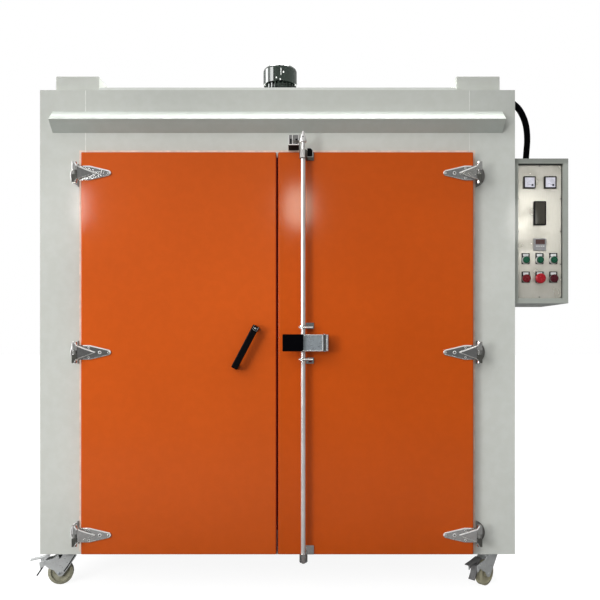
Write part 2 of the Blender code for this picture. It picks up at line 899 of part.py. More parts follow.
def make_conduit():
    """A black hose from the top of the control box into the right roof box."""
    end_height = CABINET_TOP + ROOF_BOX_HEIGHT / 2
    rise = end_height - CONTROL_TOP
    start = SIDE + CONDUIT_START
    route = [(start, CONTROL_TOP + SEAT), (start, CONTROL_TOP + CONDUIT_STRAIGHT)]
    route += [(SIDE + out, CONTROL_TOP + share * rise) for out, share in CONDUIT_BENDS]
    route += [
        (ROOF_BOX_OUTER + CONDUIT_STRAIGHT, end_height),
        (ROOF_BOX_OUTER + SEAT, end_height),
    ]
    places = [Vector((x, CONDUIT_BACK, z)) for x, z in route]
    points = [places[0], *smooth_path(places[1:-1], 4), places[-1]]
    tube("conduit", points, CONDUIT_RADIUS, black_rubber(), bevel_resolution=4)


# Hinges

def knuckle(name, x, low, high):
    start = (x, HINGE_Y, low)
    return cylinder(name, start, (0, 0, 1), high - low, HINGE_KNUCKLE_RADIUS, sides=PIN_SIDES)


def facing_viewer(x, y, z):
    """Places an outline drawn in X and Z on a plane that faces the viewer."""
    return Matrix.Translation((x, y, z)) @ Matrix.Rotation(radians(90), 4, "X")


def make_leaf(name, sign, height):
    """The half-round leaf on the frame, with the middle knuckle and the fixed pin."""
    pin_x = sign * HINGE_X
    half = LEAF_HEIGHT / 2
    radius = (half ** 2 + LEAF_REACH ** 2) / (2 * LEAF_REACH)
    swing = degrees(atan2(half, radius - LEAF_REACH))
    outline = arc((LEAF_REACH - radius, 0.0), radius, -swing, swing, 12)
    leaf = plate(
        name,
        [(sign * x, z) for x, z in outline],
        HINGE_PLATE,
        chrome(),
        facing_viewer(pin_x, -SEAT - HINGE_PLATE / 2, height),
    )
    low = height - HINGE_MIDDLE / 2 + SEAT
    high = height + HINGE_MIDDLE / 2 - SEAT
    rise = box(
        name + "_rise",
        (pin_x - LEAF_RISE / 2, HINGE_Y, low + STEP_IN),
        (pin_x + LEAF_RISE / 2, -SEAT - HINGE_PLATE / 2, high - STEP_IN),
    )
    pin = cylinder(
        name + "_pin",
        (pin_x, HINGE_Y, height - HINGE_HALF_HEIGHT),
        (0, 0, 1),
        2 * HINGE_HALF_HEIGHT,
        HINGE_PIN_RADIUS,
        sides=PIN_SIDES,
    )
    fuse(leaf, rise, knuckle(name + "_knuckle", pin_x, low, high), pin)


def make_fan(name, sign, height):
    """The raised fan of a strap, from a point on the strap to its full height at the pin."""
    pin_x = sign * HINGE_X
    back = DOOR_FACE - SEAT - HINGE_PLATE / 2
    low_face = DOOR_FACE - SEAT - HINGE_PLATE - FAN_STEP
    high_face = HINGE_Y - FAN_TOP
    half_middle = HINGE_MIDDLE / 2
    side = [(FAN_TIP, 0.0), FAN_NECK, (0.0, HINGE_HALF_HEIGHT - STEP_IN), (0.0, half_middle),
            (FAN_NECK[0], half_middle)]
    outline = side + [(x, -z) for x, z in reversed(side[1:])]
    bm = bmesh.new()
    fronts = []
    backs = []
    for x, z in outline:
        face = high_face + (low_face - high_face) * x / FAN_TIP
        fronts.append(bm.verts.new((pin_x - sign * x, face, height + z)))
        backs.append(bm.verts.new((pin_x - sign * x, back, height + z)))
    bm.faces.new(fronts)
    bm.faces.new(list(reversed(backs)))
    for i in range(len(outline)):
        j = (i + 1) % len(outline)
        bm.faces.new((fronts[i], fronts[j], backs[j], backs[i]))
    return mesh_object(name + "_fan", bm)


def make_strap(name, sign, height, door):
    """A tapered strap on the door with its raised fan and the two outer knuckles."""
    pin_x = sign * HINGE_X
    root = STRAP_ROOT / 2
    outline = [(-STRAP_END, -root), (-STRAP_SHOULDER, -root)]
    outline += arc((STRAP_TIP_RADIUS - STRAP_LENGTH, 0.0), STRAP_TIP_RADIUS, 260, 100, 6)
    outline += [(-STRAP_SHOULDER, root), (-STRAP_END, root)]
    strap = plate(
        name,
        [(sign * x, z) for x, z in outline],
        HINGE_PLATE,
        chrome(),
        facing_viewer(pin_x, DOOR_FACE - SEAT - HINGE_PLATE / 2, height),
    )
    half_middle = HINGE_MIDDLE / 2
    fuse(
        strap,
        make_fan(name, sign, height),
        knuckle(name + "_upper", pin_x, height + half_middle, height + HINGE_HALF_HEIGHT),
        knuckle(name + "_lower", pin_x, height - HINGE_HALF_HEIGHT, height - half_middle),
    )
    bore = cylinder(
        name + "_bore",
        (pin_x, HINGE_Y, height - HINGE_HALF_HEIGHT - HINGE_MIDDLE),
        (0, 0, 1),
        2 * (HINGE_HALF_HEIGHT + HINGE_MIDDLE),
        HINGE_PIN_RADIUS + RUNNING,
        sides=PIN_SIDES,
    )
    cut(strap, bore)
    hang(strap, (pin_x, HINGE_Y, height), door)


# Doors

def make_door(side, sign):
    """A skin that laps the frame and a plug that fills the opening, on one hinge axis."""
    axis = pivot_empty(side + "_door_axis", (sign * HINGE_X, HINGE_Y, 0))
    meeting = sign * DOOR_MEETING_GAP / 2
    skin = box(
        side + "_door",
        (min(meeting, sign * DOOR_SIDE), DOOR_FACE, DOOR_BOTTOM),
        (max(meeting, sign * DOOR_SIDE), -DOOR_STAND_OFF, DOOR_TOP),
        orange_paint(),
    )
    round_edges(skin, DOOR_EDGE_RADIUS)
    clearance = DOOR_PLUG_CLEARANCE
    inner = sign * (DOOR_MEETING_GAP / 2 + clearance)
    outer = sign * (OPENING_SIDE - clearance)
    plug = box(
        side + "_door_plug",
        (min(inner, outer), -DOOR_STAND_OFF - 0.01, FLOOR_TOP + clearance),
        (max(inner, outer), DOOR_PLUG_DEPTH, HEADER_BOTTOM - clearance),
    )
    fuse(skin, plug)
    hang(skin, (sign * HINGE_X, HINGE_Y, 0), axis)
    return axis


def make_handle(axis):
    """A thick bridge pull with flat ends, set slanting on the left door."""
    x, z = HANDLE_CENTRE
    end = HANDLE_LENGTH / 2
    inner = end - HANDLE_LEG
    gap = HANDLE_STAND - HANDLE_BAR
    outline = [
        (-end, 0.0), (-inner, 0.0), (-inner, gap), (inner, gap), (inner, 0.0), (end, 0.0),
        (end, HANDLE_STAND - HANDLE_CORNER), (end - HANDLE_CORNER, HANDLE_STAND),
        (HANDLE_CORNER - end, HANDLE_STAND), (-end, HANDLE_STAND - HANDLE_CORNER),
    ]
    upright = Matrix(((0, 0, 1, 0), (0, -1, 0, 0), (1, 0, 0, 0), (0, 0, 0, 1)))
    place = Matrix.Translation((x, DOOR_FACE - SEAT, z))
    lean = Matrix.Rotation(radians(HANDLE_TILT), 4, "Y")
    handle = plate(
        "left_handle", outline, HANDLE_WIDTH, black_plastic(), place @ lean @ upright
    )
    round_edges(handle, 0.003)
    hang(handle, (-HINGE_X, HINGE_Y, 0), axis)


# Lock rod, its guides and the keeper

def make_guide(name, axis):
    """A ring round the rod on a foot that is screwed to the door."""
    heights = GUIDE_HEIGHTS[name.split("_")[-1]]
    ring_low, ring_high = heights["ring"]
    foot_low, foot_high = heights["foot"]
    x = ROD_FROM_CENTRE
    guide = cylinder(
        name, (x, ROD_Y, ring_low), (0, 0, 1), ring_high - ring_low, GUIDE_RADIUS, chrome(), sides=ROD_SIDES
    )
    web = box(
        name + "_web",
        (x + ROD_RADIUS + 0.002, ROD_Y, ring_low + STEP_IN),
        (
            x + ROD_RADIUS + 0.002 + GUIDE_WEB,
            DOOR_FACE - SEAT - GUIDE_FOOT_PLATE / 2,
            ring_high - STEP_IN,
        ),
    )
    foot = box(
        name + "_foot",
        (x + ROD_RADIUS + 0.001, DOOR_FACE - SEAT - GUIDE_FOOT_PLATE, foot_low),
        (x + GUIDE_FOOT_REACH, DOOR_FACE - SEAT, foot_high),
    )
    fuse(guide, web, foot)
    cut(
        guide,
        cylinder(
            name + "_bore",
            (x, ROD_Y, ring_low - 0.01),
            (0, 0, 1),
            ring_high - ring_low + 0.02,
            ROD_RADIUS + RUNNING,
            sides=ROD_SIDES,
        ),
    )
    hang(guide, (HINGE_X, HINGE_Y, 0), axis)


def make_rod(axis):
    """A turned rod with a pointed head and a tongue that lies over the keeper's shelf."""
    profile = (
        (0.0, ROD_TIP),
        (0.0035, ROD_TIP - 0.002),
        (0.0085, ROD_TIP - 0.018),
        (ROD_HEAD_RADIUS, ROD_TIP - 0.036),
        (ROD_HEAD_RADIUS, ROD_NECK_TOP + 0.002),
        (ROD_HEAD_RADIUS - 0.002, ROD_NECK_TOP),
        (ROD_NECK_RADIUS, ROD_NECK_TOP),
        (ROD_NECK_RADIUS, ROD_NECK_BOTTOM),
        (ROD_RADIUS, ROD_NECK_BOTTOM - 0.002),
        (ROD_RADIUS, ROD_BOTTOM + 0.002),
        (ROD_RADIUS - 0.002, ROD_BOTTOM),
        (0.0, ROD_BOTTOM),
    )
    x = ROD_FROM_CENTRE
    rod = turned("lock_rod", (x, ROD_Y, 0), profile, chrome(), sides=ROD_SIDES)
    tongue_low = KEEPER_BOTTOM + KEEPER_PLATE + TONGUE_CLEARANCE
    tongue = box(
        "lock_tongue",
        (x - TONGUE_REACH, ROD_Y - TONGUE_DEPTH / 2, tongue_low),
        (x, ROD_Y + TONGUE_DEPTH / 2, tongue_low + TONGUE_THICKNESS),
    )
    fuse(rod, tongue)
    empty = pivot_empty("lock_rod_axis", (x, ROD_Y, 0), axis)
    hang(rod, (x, ROD_Y, 0), empty)


def make_keeper():
    """A slotted wall plate with a shelf, folded from one sheet."""
    keeper = box(
        "lock_keeper",
        (KEEPER_LEFT, -SEAT - KEEPER_PLATE, KEEPER_BOTTOM),
        (KEEPER_RIGHT, -SEAT, KEEPER_TOP),
        chrome(),
    )
    shelf = box(
        "keeper_shelf",
        (KEEPER_LEFT + STEP_IN, -KEEPER_SHELF_REACH, KEEPER_BOTTOM + STEP_IN),
        (
            KEEPER_RIGHT - STEP_IN,
            -SEAT - KEEPER_PLATE / 2,
            KEEPER_BOTTOM + KEEPER_PLATE,
        ),
    )
    fuse(keeper, shelf)
    middle = (KEEPER_LEFT + KEEPER_RIGHT) / 2
    slot_low = (KEEPER_BOTTOM + KEEPER_PLATE + KEEPER_TOP - KEEPER_SLOT_HEIGHT) / 2
    for name, offset in (("left", -0.25), ("right", 0.25)):
        x = middle + offset * (KEEPER_RIGHT - KEEPER_LEFT)
        cut(
            keeper,
            box(
                f"keeper_{name}_slot",
                (x - KEEPER_SLOT_WIDTH / 2, -0.02, slot_low),
                (x + KEEPER_SLOT_WIDTH / 2, 0.02, slot_low + KEEPER_SLOT_HEIGHT),
            ),
        )


# Lock lever

def make_lever(axis):
    """A flat bar with a channelled end on a bracket, and a thick black grip."""
    low = LEVER_HEIGHT - LEVER_TALL / 2
    high = LEVER_HEIGHT + LEVER_TALL / 2
    bracket = box(
        "lever_bracket",
        (
            LEVER_PIVOT_X - BRACKET_WIDTH / 2,
            LEVER_PIVOT_Y,
            LEVER_HEIGHT - BRACKET_TALL / 2,
        ),
        (
            LEVER_PIVOT_X + BRACKET_WIDTH / 2,
            DOOR_FACE - SEAT - STEP_IN,
            LEVER_HEIGHT + BRACKET_TALL / 2,
        ),
        zinc(),
    )
    base = box(
        "bracket_base",
        (
            LEVER_PIVOT_X - BRACKET_WIDTH,
            DOOR_FACE - SEAT - 0.004,
            low,
        ),
        (
            LEVER_PIVOT_X + BRACKET_WIDTH * 1.2,
            DOOR_FACE - SEAT,
            high,
        ),
    )
    barrel = cylinder(
        "bracket_barrel",
        (LEVER_PIVOT_X, LEVER_PIVOT_Y, LEVER_HEIGHT - BRACKET_TALL / 2 + STEP_IN),
        (0, 0, 1),
        BRACKET_TALL - 2 * STEP_IN,
        BRACKET_BARREL_RADIUS,
        sides=BUTTON_SIDES,
    )
    pin = cylinder(
        "bracket_pin",
        (LEVER_PIVOT_X, LEVER_PIVOT_Y, low - 0.002),
        (0, 0, 1),
        LEVER_TALL + 0.004,
        LEVER_PIN_RADIUS,
        sides=PIN_SIDES,
    )
    fuse(bracket, base, barrel, pin)
    hang(bracket, (HINGE_X, HINGE_Y, 0), axis)

    right = LEVER_PIVOT_X + LEVER_END_REACH
    front = LEVER_BAR_BACK - LEVER_BAR
    section = [
        (LEVER_GRIP_LEFT + LEVER_END_REACH, LEVER_BAR_BACK),
        (LEVER_GRIP_LEFT + LEVER_END_REACH, front),
        (right - LEVER_FOLD_WIDTH, front),
        (right, front + LEVER_FOLD_DEPTH),
        (right, LEVER_BAR_BACK),
    ]
    lever = plate(
        "lock_lever",
        section,
        LEVER_TALL,
        zinc(),
        Matrix.Translation((0, 0, LEVER_HEIGHT)),
    )
    flange_height = (LEVER_TALL - BRACKET_TALL) / 2 - RUNNING
    for name, base_z in (("lower", low + STEP_IN), ("upper", high - flange_height)):
        flange = box(
            f"lever_{name}_flange",
            (right - LEVER_CHANNEL, LEVER_BAR_BACK - STEP_IN, base_z),
            (
                right - STEP_IN,
                LEVER_PIVOT_Y + BRACKET_BARREL_RADIUS,
                base_z + flange_height - STEP_IN,
            ),
        )
        fuse(lever, flange)
    cut(
        lever,
        cylinder(
            "lever_bore",
            (LEVER_PIVOT_X, LEVER_PIVOT_Y, low - 0.01),
            (0, 0, 1),
            LEVER_TALL + 0.02,
            LEVER_PIN_RADIUS + RUNNING,
            sides=PIN_SIDES,
        ),
    )
    grip = box(
        "lever_grip",
        (
            LEVER_GRIP_LEFT,
            LEVER_BAR_BACK - LEVER_GRIP_THICKNESS,
            low - 0.001,
        ),
        (
            ROD_FROM_CENTRE,
            LEVER_BAR_BACK,
            high + 0.001,
        ),
        black_rubber(),
    )
    round_edges(grip, 0.003)
    cut(
        grip,
        box(
            "grip_socket",
            (LEVER_GRIP_LEFT + LEVER_END_REACH - SEAT, front - SEAT, low - SEAT),
            (ROD_FROM_CENTRE + 0.01, LEVER_BAR_BACK + 0.01, high + SEAT),
        ),
    )
    pivot = (LEVER_PIVOT_X, LEVER_PIVOT_Y, LEVER_HEIGHT)
    empty = pivot_empty("lever_axis", pivot, axis)
    hang(lever, pivot, empty)
    hang(grip, pivot, empty)


# Casters

def make_caster_seat(name, x, y, wall):
    """The fixed plate and bearing head of one caster, welded under a side wall."""
    top = CASTER_HEIGHT + CASTER_PLATE_THICKNESS / 2
    pad = box(
        name + "_caster_plate",
        (x - CASTER_PLATE / 2, y - CASTER_PLATE / 2, CASTER_HEIGHT - CASTER_PLATE_THICKNESS),
        (x + CASTER_PLATE / 2, y + CASTER_PLATE / 2, top),
    )
    under_plate = CASTER_HEIGHT - CASTER_PLATE_THICKNESS
    head = cylinder(
        name + "_caster_head",
        (x, y, under_plate - CASTER_HEAD),
        (0, 0, 1),
        CASTER_HEAD + CASTER_PLATE_THICKNESS / 2,
        CASTER_HEAD_RADIUS,
    )
    pin = cylinder(
        name + "_caster_pin",
        (x, y, under_plate - CASTER_HEAD - FORK_CROWN - 0.002),
        (0, 0, 1),
        CASTER_HEAD,
        CASTER_PIN_RADIUS,
        sides=PIN_SIDES,
    )
    bolt = cylinder(
        name + "_caster_bolt",
        (x, y, under_plate - CASTER_HEAD - FORK_CROWN - 0.005),
        (0, 0, 1),
        0.004,
        CASTER_PIN_HEAD,
        sides=BOLT_SIDES,
    )
    fuse(wall, pad, head, pin, bolt)


def make_fork(name, x, y, angle):
    """A swivel fork on its vertical axis, with the wheel on the trailing axle."""
    crown_top = CASTER_HEIGHT - CASTER_PLATE_THICKNESS - CASTER_HEAD - SEAT
    inner = WHEEL_WIDTH / 2 + FORK_GAP
    outer = inner + FORK_PLATE
    axle = WHEEL_RADIUS
    trail = CASTER_TRAIL
    braked = name.startswith("front")
    swivel = pivot_empty(name + "_swivel_axis", (x, y, 0))
    fork = cylinder(
        name + "_fork",
        (x, y, crown_top - FORK_CROWN),
        (0, 0, 1),
        FORK_CROWN,
        FORK_HEAD_RADIUS,
        zinc(),
    )
    side_outline = [
        (-CHEEK_LEAD, crown_top),
        (-CHEEK_LEAD, crown_top - 2 * FORK_CROWN),
        *arc((trail, axle), CHEEK_TIP_RADIUS, 215, 340, 6),
        *(CHEEK_ARM if braked else CHEEK_ARM[:1]),
        (CHEEK_LEAD, crown_top),
    ]
    for side, sign in SIDES:
        centre = sign * (inner + outer) / 2
        place = Matrix.Translation((x, y + centre, 0)) @ Matrix.Rotation(radians(90), 4, "X")
        fuse(fork, plate(f"{name}_{side}_cheek", side_outline, FORK_PLATE, None, place))
    axle_bar = cylinder(
        name + "_axle",
        (x + trail, y - outer - 0.003, axle),
        (0, 1, 0),
        2 * outer + 0.006,
        AXLE_RADIUS,
        sides=PIN_SIDES,
    )
    fuse(fork, axle_bar)
    if braked:
        pedal_pin = cylinder(
            name + "_pedal_pin",
            (x + PEDAL_PIVOT_OUT, y - outer - 0.002, PEDAL_PIVOT_HEIGHT),
            (0, 1, 0),
            2 * outer + 0.004,
            PEDAL_PIN_RADIUS,
            sides=PIN_SIDES,
        )
        fuse(fork, pedal_pin)
        pedal = make_pedal(name, x, y)
    cut(
        fork,
        cylinder(
            name + "_pin_hole",
            (x, y, crown_top - FORK_CROWN - 0.01),
            (0, 0, 1),
            0.03,
            CASTER_PIN_RADIUS + RUNNING,
            sides=PIN_SIDES,
        ),
    )
    wheel_centre = (x + trail, y, axle)
    half = WHEEL_WIDTH / 2
    profile = (
        (WHEEL_BORE_RADIUS, half),
        (WHEEL_HUB_RADIUS, half),
        (WHEEL_HUB_RADIUS, half - WHEEL_DISH),
        (WHEEL_RADIUS - WHEEL_TREAD, half - WHEEL_DISH),
        (WHEEL_RADIUS - WHEEL_TREAD, half),
        (WHEEL_RADIUS, half - WHEEL_SHOULDER),
        (WHEEL_RADIUS, -half + WHEEL_SHOULDER),
        (WHEEL_RADIUS - WHEEL_TREAD, -half),
        (WHEEL_RADIUS - WHEEL_TREAD, -half + WHEEL_DISH),
        (WHEEL_HUB_RADIUS, -half + WHEEL_DISH),
        (WHEEL_HUB_RADIUS, -half),
        (WHEEL_BORE_RADIUS, -half),
    )
    wheel = turned(
        name + "_wheel", (0, 0, 0), profile, material("wheel", (0.30, 0.29, 0.22), 0.6), sides=WHEEL_SIDES
    )
    turn_cutters(name, (x, y), angle)
    hang(fork, (x, y, 0), swivel)
    if braked:
        hang(pedal, (x + PEDAL_PIVOT_OUT, y, PEDAL_PIVOT_HEIGHT), swivel)
    wheel.parent = swivel
    wheel.location = Vector(wheel_centre) - Vector((x, y, 0))
    wheel.rotation_euler = (radians(90), 0, 0)
    swivel.rotation_euler = (0, 0, radians(angle))


def make_pedal(name, x, y):
    """A brake pedal: an upper and a lower tread on a barrel that turns on the fork's pin."""
    pivot = (x + PEDAL_PIVOT_OUT, y - PEDAL_WIDTH / 2, PEDAL_PIVOT_HEIGHT)
    tread = plate(
        name + "_brake_pedal",
        PEDAL_OUTLINE,
        PEDAL_WIDTH,
        zinc(),
        Matrix.Translation((x, y, 0)) @ Matrix.Rotation(radians(90), 4, "X"),
    )
    barrel = cylinder(
        name + "_pedal_barrel", pivot, (0, 1, 0), PEDAL_WIDTH, PEDAL_BARREL_RADIUS, sides=PIN_SIDES
    )
    fuse(tread, barrel)
    bore = cylinder(
        name + "_pedal_bore",
        (pivot[0], pivot[1] - 0.01, pivot[2]),
        (0, 1, 0),
        PEDAL_WIDTH + 0.02,
        PEDAL_PIN_RADIUS + RUNNING,
        sides=PIN_SIDES,
    )
    cut(tread, bore)
    return tread


def turn_cutters(name, centre, angle):
    """Turn the shapes that form a fork with it, about its swivel axis."""
    bpy.context.view_layer.update()
    spin = (
        Matrix.Translation((*centre, 0))
        @ Matrix.Rotation(radians(angle), 4, "Z")
        @ Matrix.Translation((-centre[0], -centre[1], 0))
    )
    for tool in collection("cutters").objects:
        if tool.name.startswith(name + "_") and "_caster_" not in tool.name:
            tool.matrix_world = spin @ tool.matrix_world


def stand_on_plan_middle():
    for obj in bpy.data.objects:
        if obj.parent is None:
            obj.location -= PLAN_MIDDLE


def main():
    clear_scene()
    walls = make_walls()
    make_header()
    make_roof()
    make_floor()
    make_hood()
    make_roof_boxes()
    make_motor()
    make_control_box()
    make_instruments()
    make_buttons()
    make_conduit()
    axes = {side: make_door(side, sign) for side, sign in SIDES}
    for side, sign in SIDES:
        for row, height in enumerate(HINGE_HEIGHTS, start=1):
            make_leaf(f"{side}_hinge_leaf_{row}", sign, height)
            make_strap(f"{side}_hinge_strap_{row}", sign, height, axes[side])
    make_handle(axes["left"])
    right = axes["right"]
    for place in GUIDE_HEIGHTS:
        make_guide("rod_guide_" + place, right)
    make_rod(right)
    make_keeper()
    make_lever(right)
    for name, x, y, angle in caster_places():
        make_caster_seat(name, x, y, walls[name.split("_")[1]])
        make_fork(name, x, y, angle)
    stand_on_plan_middle()


main()
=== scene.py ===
"""The looks of the curing oven: finishes, instruments, fittings, light and camera.

Metres, +Z up. The viewer of the doors stands at -Y and sees +X on the right.
Added pieces take their depths, and most of their places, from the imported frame.
"""

import json
from math import atan2, cos, pi, radians, sin

import bmesh
import bpy
from mathutils import Matrix, Vector
from mathutils.bvhtree import BVHTree


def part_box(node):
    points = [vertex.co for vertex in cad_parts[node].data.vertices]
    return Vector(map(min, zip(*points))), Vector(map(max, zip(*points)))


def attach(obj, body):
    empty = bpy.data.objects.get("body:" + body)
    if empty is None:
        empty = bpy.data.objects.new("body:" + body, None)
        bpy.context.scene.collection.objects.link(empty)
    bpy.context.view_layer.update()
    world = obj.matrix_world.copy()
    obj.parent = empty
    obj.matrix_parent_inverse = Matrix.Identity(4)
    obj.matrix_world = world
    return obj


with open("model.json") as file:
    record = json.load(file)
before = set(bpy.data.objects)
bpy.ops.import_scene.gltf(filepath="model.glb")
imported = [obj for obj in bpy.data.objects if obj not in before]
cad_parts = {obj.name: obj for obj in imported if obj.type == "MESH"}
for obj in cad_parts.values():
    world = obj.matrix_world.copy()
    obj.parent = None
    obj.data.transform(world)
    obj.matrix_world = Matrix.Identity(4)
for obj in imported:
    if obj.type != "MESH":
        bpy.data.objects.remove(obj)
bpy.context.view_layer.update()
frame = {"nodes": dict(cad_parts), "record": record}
NODES = frame["nodes"]

# View, the small lamps' place along Y, and the floor
IMAGE_SIZE = 600
CAMERA_PLACE = (0.008, -3.466, 0.998)
FOCAL_PIXELS = 675
SENSOR_WIDTH = 36.0
HORIZON_PIXEL = 340
SMALL_LAMP_Y = -4.796
FLOOR_SIZE = 40.0
FLOOR_GLOW = 0.90

# Names that repeat
SIDES = ("left", "right")
HINGE_ROWS = (1, 2, 3)

# Edges, how trims sit on a surface, and where the ray that finds it starts
PROUD = 0.0004
SHEET_EDGE = 0.0012
RAY_START = -3.0
PATCH_SINK = 0.0003
PATCH_RISE = 0.0005
SMOOTH_ANGLE = radians(32)
BEVEL_ANGLE = radians(35)

# Section of a raised bar, as shares of its half width and of its rise
BAR_SECTION = ((1, -0.3), (0.8, 0.7), (0.35, 1), (-0.35, 1), (-0.8, 0.7), (-1, -0.3))

# Instruments: how far a face is set in from the frame, and what is printed on it
INSTRUMENT_INSET = 0.0042
INSTRUMENT_RECESS = 0.002
METER_SEAT = 0.0003
CARD_THICKNESS = 0.0006
PANE_THICKNESS = 0.0012
DIAL_HUB_INSET = 0.013
DIAL_REACH = 0.022
DIAL_POINTS = 9
DIAL_START = 92
DIAL_SWEEP = 86
DIAL_LONG_MARK = 0.0028
DIAL_SHORT_MARK = 0.0016
DIAL_MARK_WIDTH = 0.0005
MARK_RISE = 0.00025
NEEDLE_TURNS = {"left": 168, "right": 160}
NEEDLE_TAIL = 0.003
NEEDLE_REACH = 0.019
NEEDLE_WIDTH = 0.0007
DIAL_STUD = ((0.0042, 0.0), (0.0042, 0.0008), (0.003, 0.0014))
FASCIA_THICKNESS = 0.0010
DISPLAY_LEFT = 0.0060
DISPLAY_RIGHT = 0.0045
DISPLAY_TOP = 0.0045
DISPLAY_BOTTOM = 0.0235
KEY_COUNT = 4
KEY_START = 0.0105
KEY_PITCH = 0.009
KEY_HALF = 0.0036
KEY_BOTTOM = 0.0145
KEY_TOP = 0.0185
KEY_RISE = 0.0009
KEY_EDGE = 0.0003

# Control panel: its screws, its gap's painted shade, and the legend and bezel of a button
PANEL_SCREW_RADIUS = 0.0032
PANEL_SCREW_RISE = 0.0015
PANEL_SCREW_SIDE = 0.0045
PANEL_SCREW_END = 0.006
PANEL_SCREW_ROWS = 5
PANEL_GAP_LEFT = 0.0026
PANEL_GAP_RIGHT = 0.0020
PANEL_GAP_TOP = 0.0036
PANEL_GAP_DEPTH = 0.0008
LEGEND_HOLE = 0.0162
LEGEND_RIM = 0.0002
LEGEND_BELOW = 0.0165
LEGEND_ABOVE = 0.0285
LEGEND_THICKNESS = 0.0012
LEGEND_STEPS = 32
INSERT_HALF = 0.011
INSERT_HEIGHT = 0.0095
INSERT_BELOW_TOP = 0.0035
BEZEL_HOLE = 0.0142
BEZEL_RADIUS = 0.0164
BEZEL_RISE = 0.0090

# Hinge sizes, as the frame has them
HINGE_KNUCKLE = 0.0085
HINGE_PLATE = 0.0043
HINGE_STRAP_HALF = 0.0285
HINGE_TIP = 0.129
HINGE_TIP_RADIUS = 0.009
HINGE_FAN = 0.080
HINGE_FAN_ROOT = 0.0185
HINGE_FAN_END = 0.0058
HINGE_LEAF_REACH = 0.034
HINGE_LEAF_RADIUS = 0.0481

# Hinge trim, as (inwards, up) from the middle of the pin; a strap's screw has its radius too
RIM_INSET = 0.002
RIM_WIDTH = 0.0050
RIM_RISE = 0.0018
RIM_START = 0.030
RIM_SHOULDER = 0.056
LOW_RIM_WIDTH = 0.0034
LOW_RIM_RISE = 0.0014
FAN_RIM_WIDTH = 0.0056
FAN_EDGE = ((0.0115, 0.0250), (0.040, 0.0140), (0.078, 0.0))
COVER_OUT = 0.0222
COVER_THICKNESS = 0.0016
COVER_EDGE = ((0.0112, 0.0255), (0.0010, 0.0400))
COVER_OUTLINE = (
    (-0.0088, 0.0086), (0.0115, 0.0086), (0.0115, 0.0265), (0.0, 0.0414), (-0.0088, 0.0414)
)
STEM_LINE = ((-0.0062, 0.0100), (-0.0062, 0.0400))
STEM_WIDTH = 0.0044
LEAF_RIM_WIDTH = 0.0036
LEAF_RIM_RISE = 0.0012
LEAF_RIM_INSET = 0.0018
STRAP_SCREWS = (
    (0.053, 0.0195, 0.0042), (0.053, -0.0195, 0.0042), (0.096, 0.0, 0.0066), (0.1305, 0.0, 0.0040)
)
LEAF_SCREWS = ((-0.0175, -0.025), (-0.0175, 0.0), (-0.0175, 0.025))
LEAF_SCREW_RADII = (0.0046, 0.0038, 0.0030, 0.0018)
SCREW_TOP = 0.0009
RECESS_RIM = 0.0011
RECESS_TOP = 0.0012

# Door pull: its upper end in its box, and the line there as (down, across) from that end
HANDLE_TILT = radians(27.6)
HANDLE_END_SIDE = 0.0083
HANDLE_END_TOP = 0.0059
HANDLE_LINE = (
    (0.002, -0.0088), (0.0175, -0.0088), (0.0195, -0.005),
    (0.0195, 0.005), (0.0175, 0.0088), (0.002, 0.0088),
)
HANDLE_LINE_BAR = (0.0015, 0.0006)
HANDLE_SCREW_DOWN = 0.0105
HANDLE_SCREW_RING = (0.0014, 0.0031, 0.0012)

# Lever: its fold from its right end, the places of the painted shade beyond the fold, and its bars as
# (width, rise), the bright ones painting highlights
LEVER_FOLD = 0.0195
LEVER_LEFT = 0.0215
LEVER_PROBE = 0.012
LEVER_END = 0.0014
LEVER_INSET = 0.002
LEVER_END_INSET = 0.001
LEVER_EDGE_INSET = 0.0013
LEVER_FOLD_BAR = (0.0026, 0.0008)
LEVER_END_BAR = (0.0026, 0.0012)
LEVER_EDGE_BAR = (0.0022, 0.0008)
LEVER_SHADE_BAR = (0.0032, 0.0004)
LEVER_SHADE_PLACES = (0.0055, 0.0085, 0.0115)

# Rod and its guides, with x from the oven's middle and heights above the ground
GUIDE_BARS = {"rod_guide_upper": 1.0474, "rod_guide_lower": 0.9230}
GUIDE_BAR_LEFT = 0.0030
GUIDE_BAR_RIGHT = 0.0580
GUIDE_BAR = (0.0050, 0.0020)
GUIDE_LIFT = 0.0002
GUIDE_FOOT = 0.0035
GUIDE_WEB_LEFT = 0.0380
GUIDE_WEB_RIGHT = 0.0575
GUIDE_WEB_HALF = 0.0008
GUIDE_SLOT = ((0.0415, 0.9095), (0.0550, 0.9095), (0.0550, 0.9155), (0.0415, 0.9155))
# The rod's hole and tongue get dark marks as painted shade
ROD_HOLE = (0.0195, 1.787)
ROD_HOLE_SINK = 0.0008
ROD_HOLE_PROFILE = ((0.0030, 0.0), (0.0030, 0.0012), (0.002, 0.0013))
TONGUE_HEIGHT = 1.770
TONGUE_PROBE = 0.010
TONGUE_START = 0.0005
TONGUE_END = 0.0270
TONGUE_BAR = (0.0100, 0.0006)
TOP_GUIDE_MIDDLE = 0.0185
TOP_GUIDE_INSET = 0.0005
TOP_GUIDE_RIB = (0.0170, 0.0030)
# A dark sheet as painted shadow beside the top guide, with a bright rim as painted highlight
SHADOW_OUT = 0.0050
SHADOW_THICKNESS = 0.0018
SHADOW_RIM = (0.0022, 0.0010)
SHADOW_OUTLINE = (
    (0.0365, 1.7185), (0.0365, 1.7530), (0.0500, 1.7530), (0.0585, 1.7460), (0.0585, 1.7185)
)
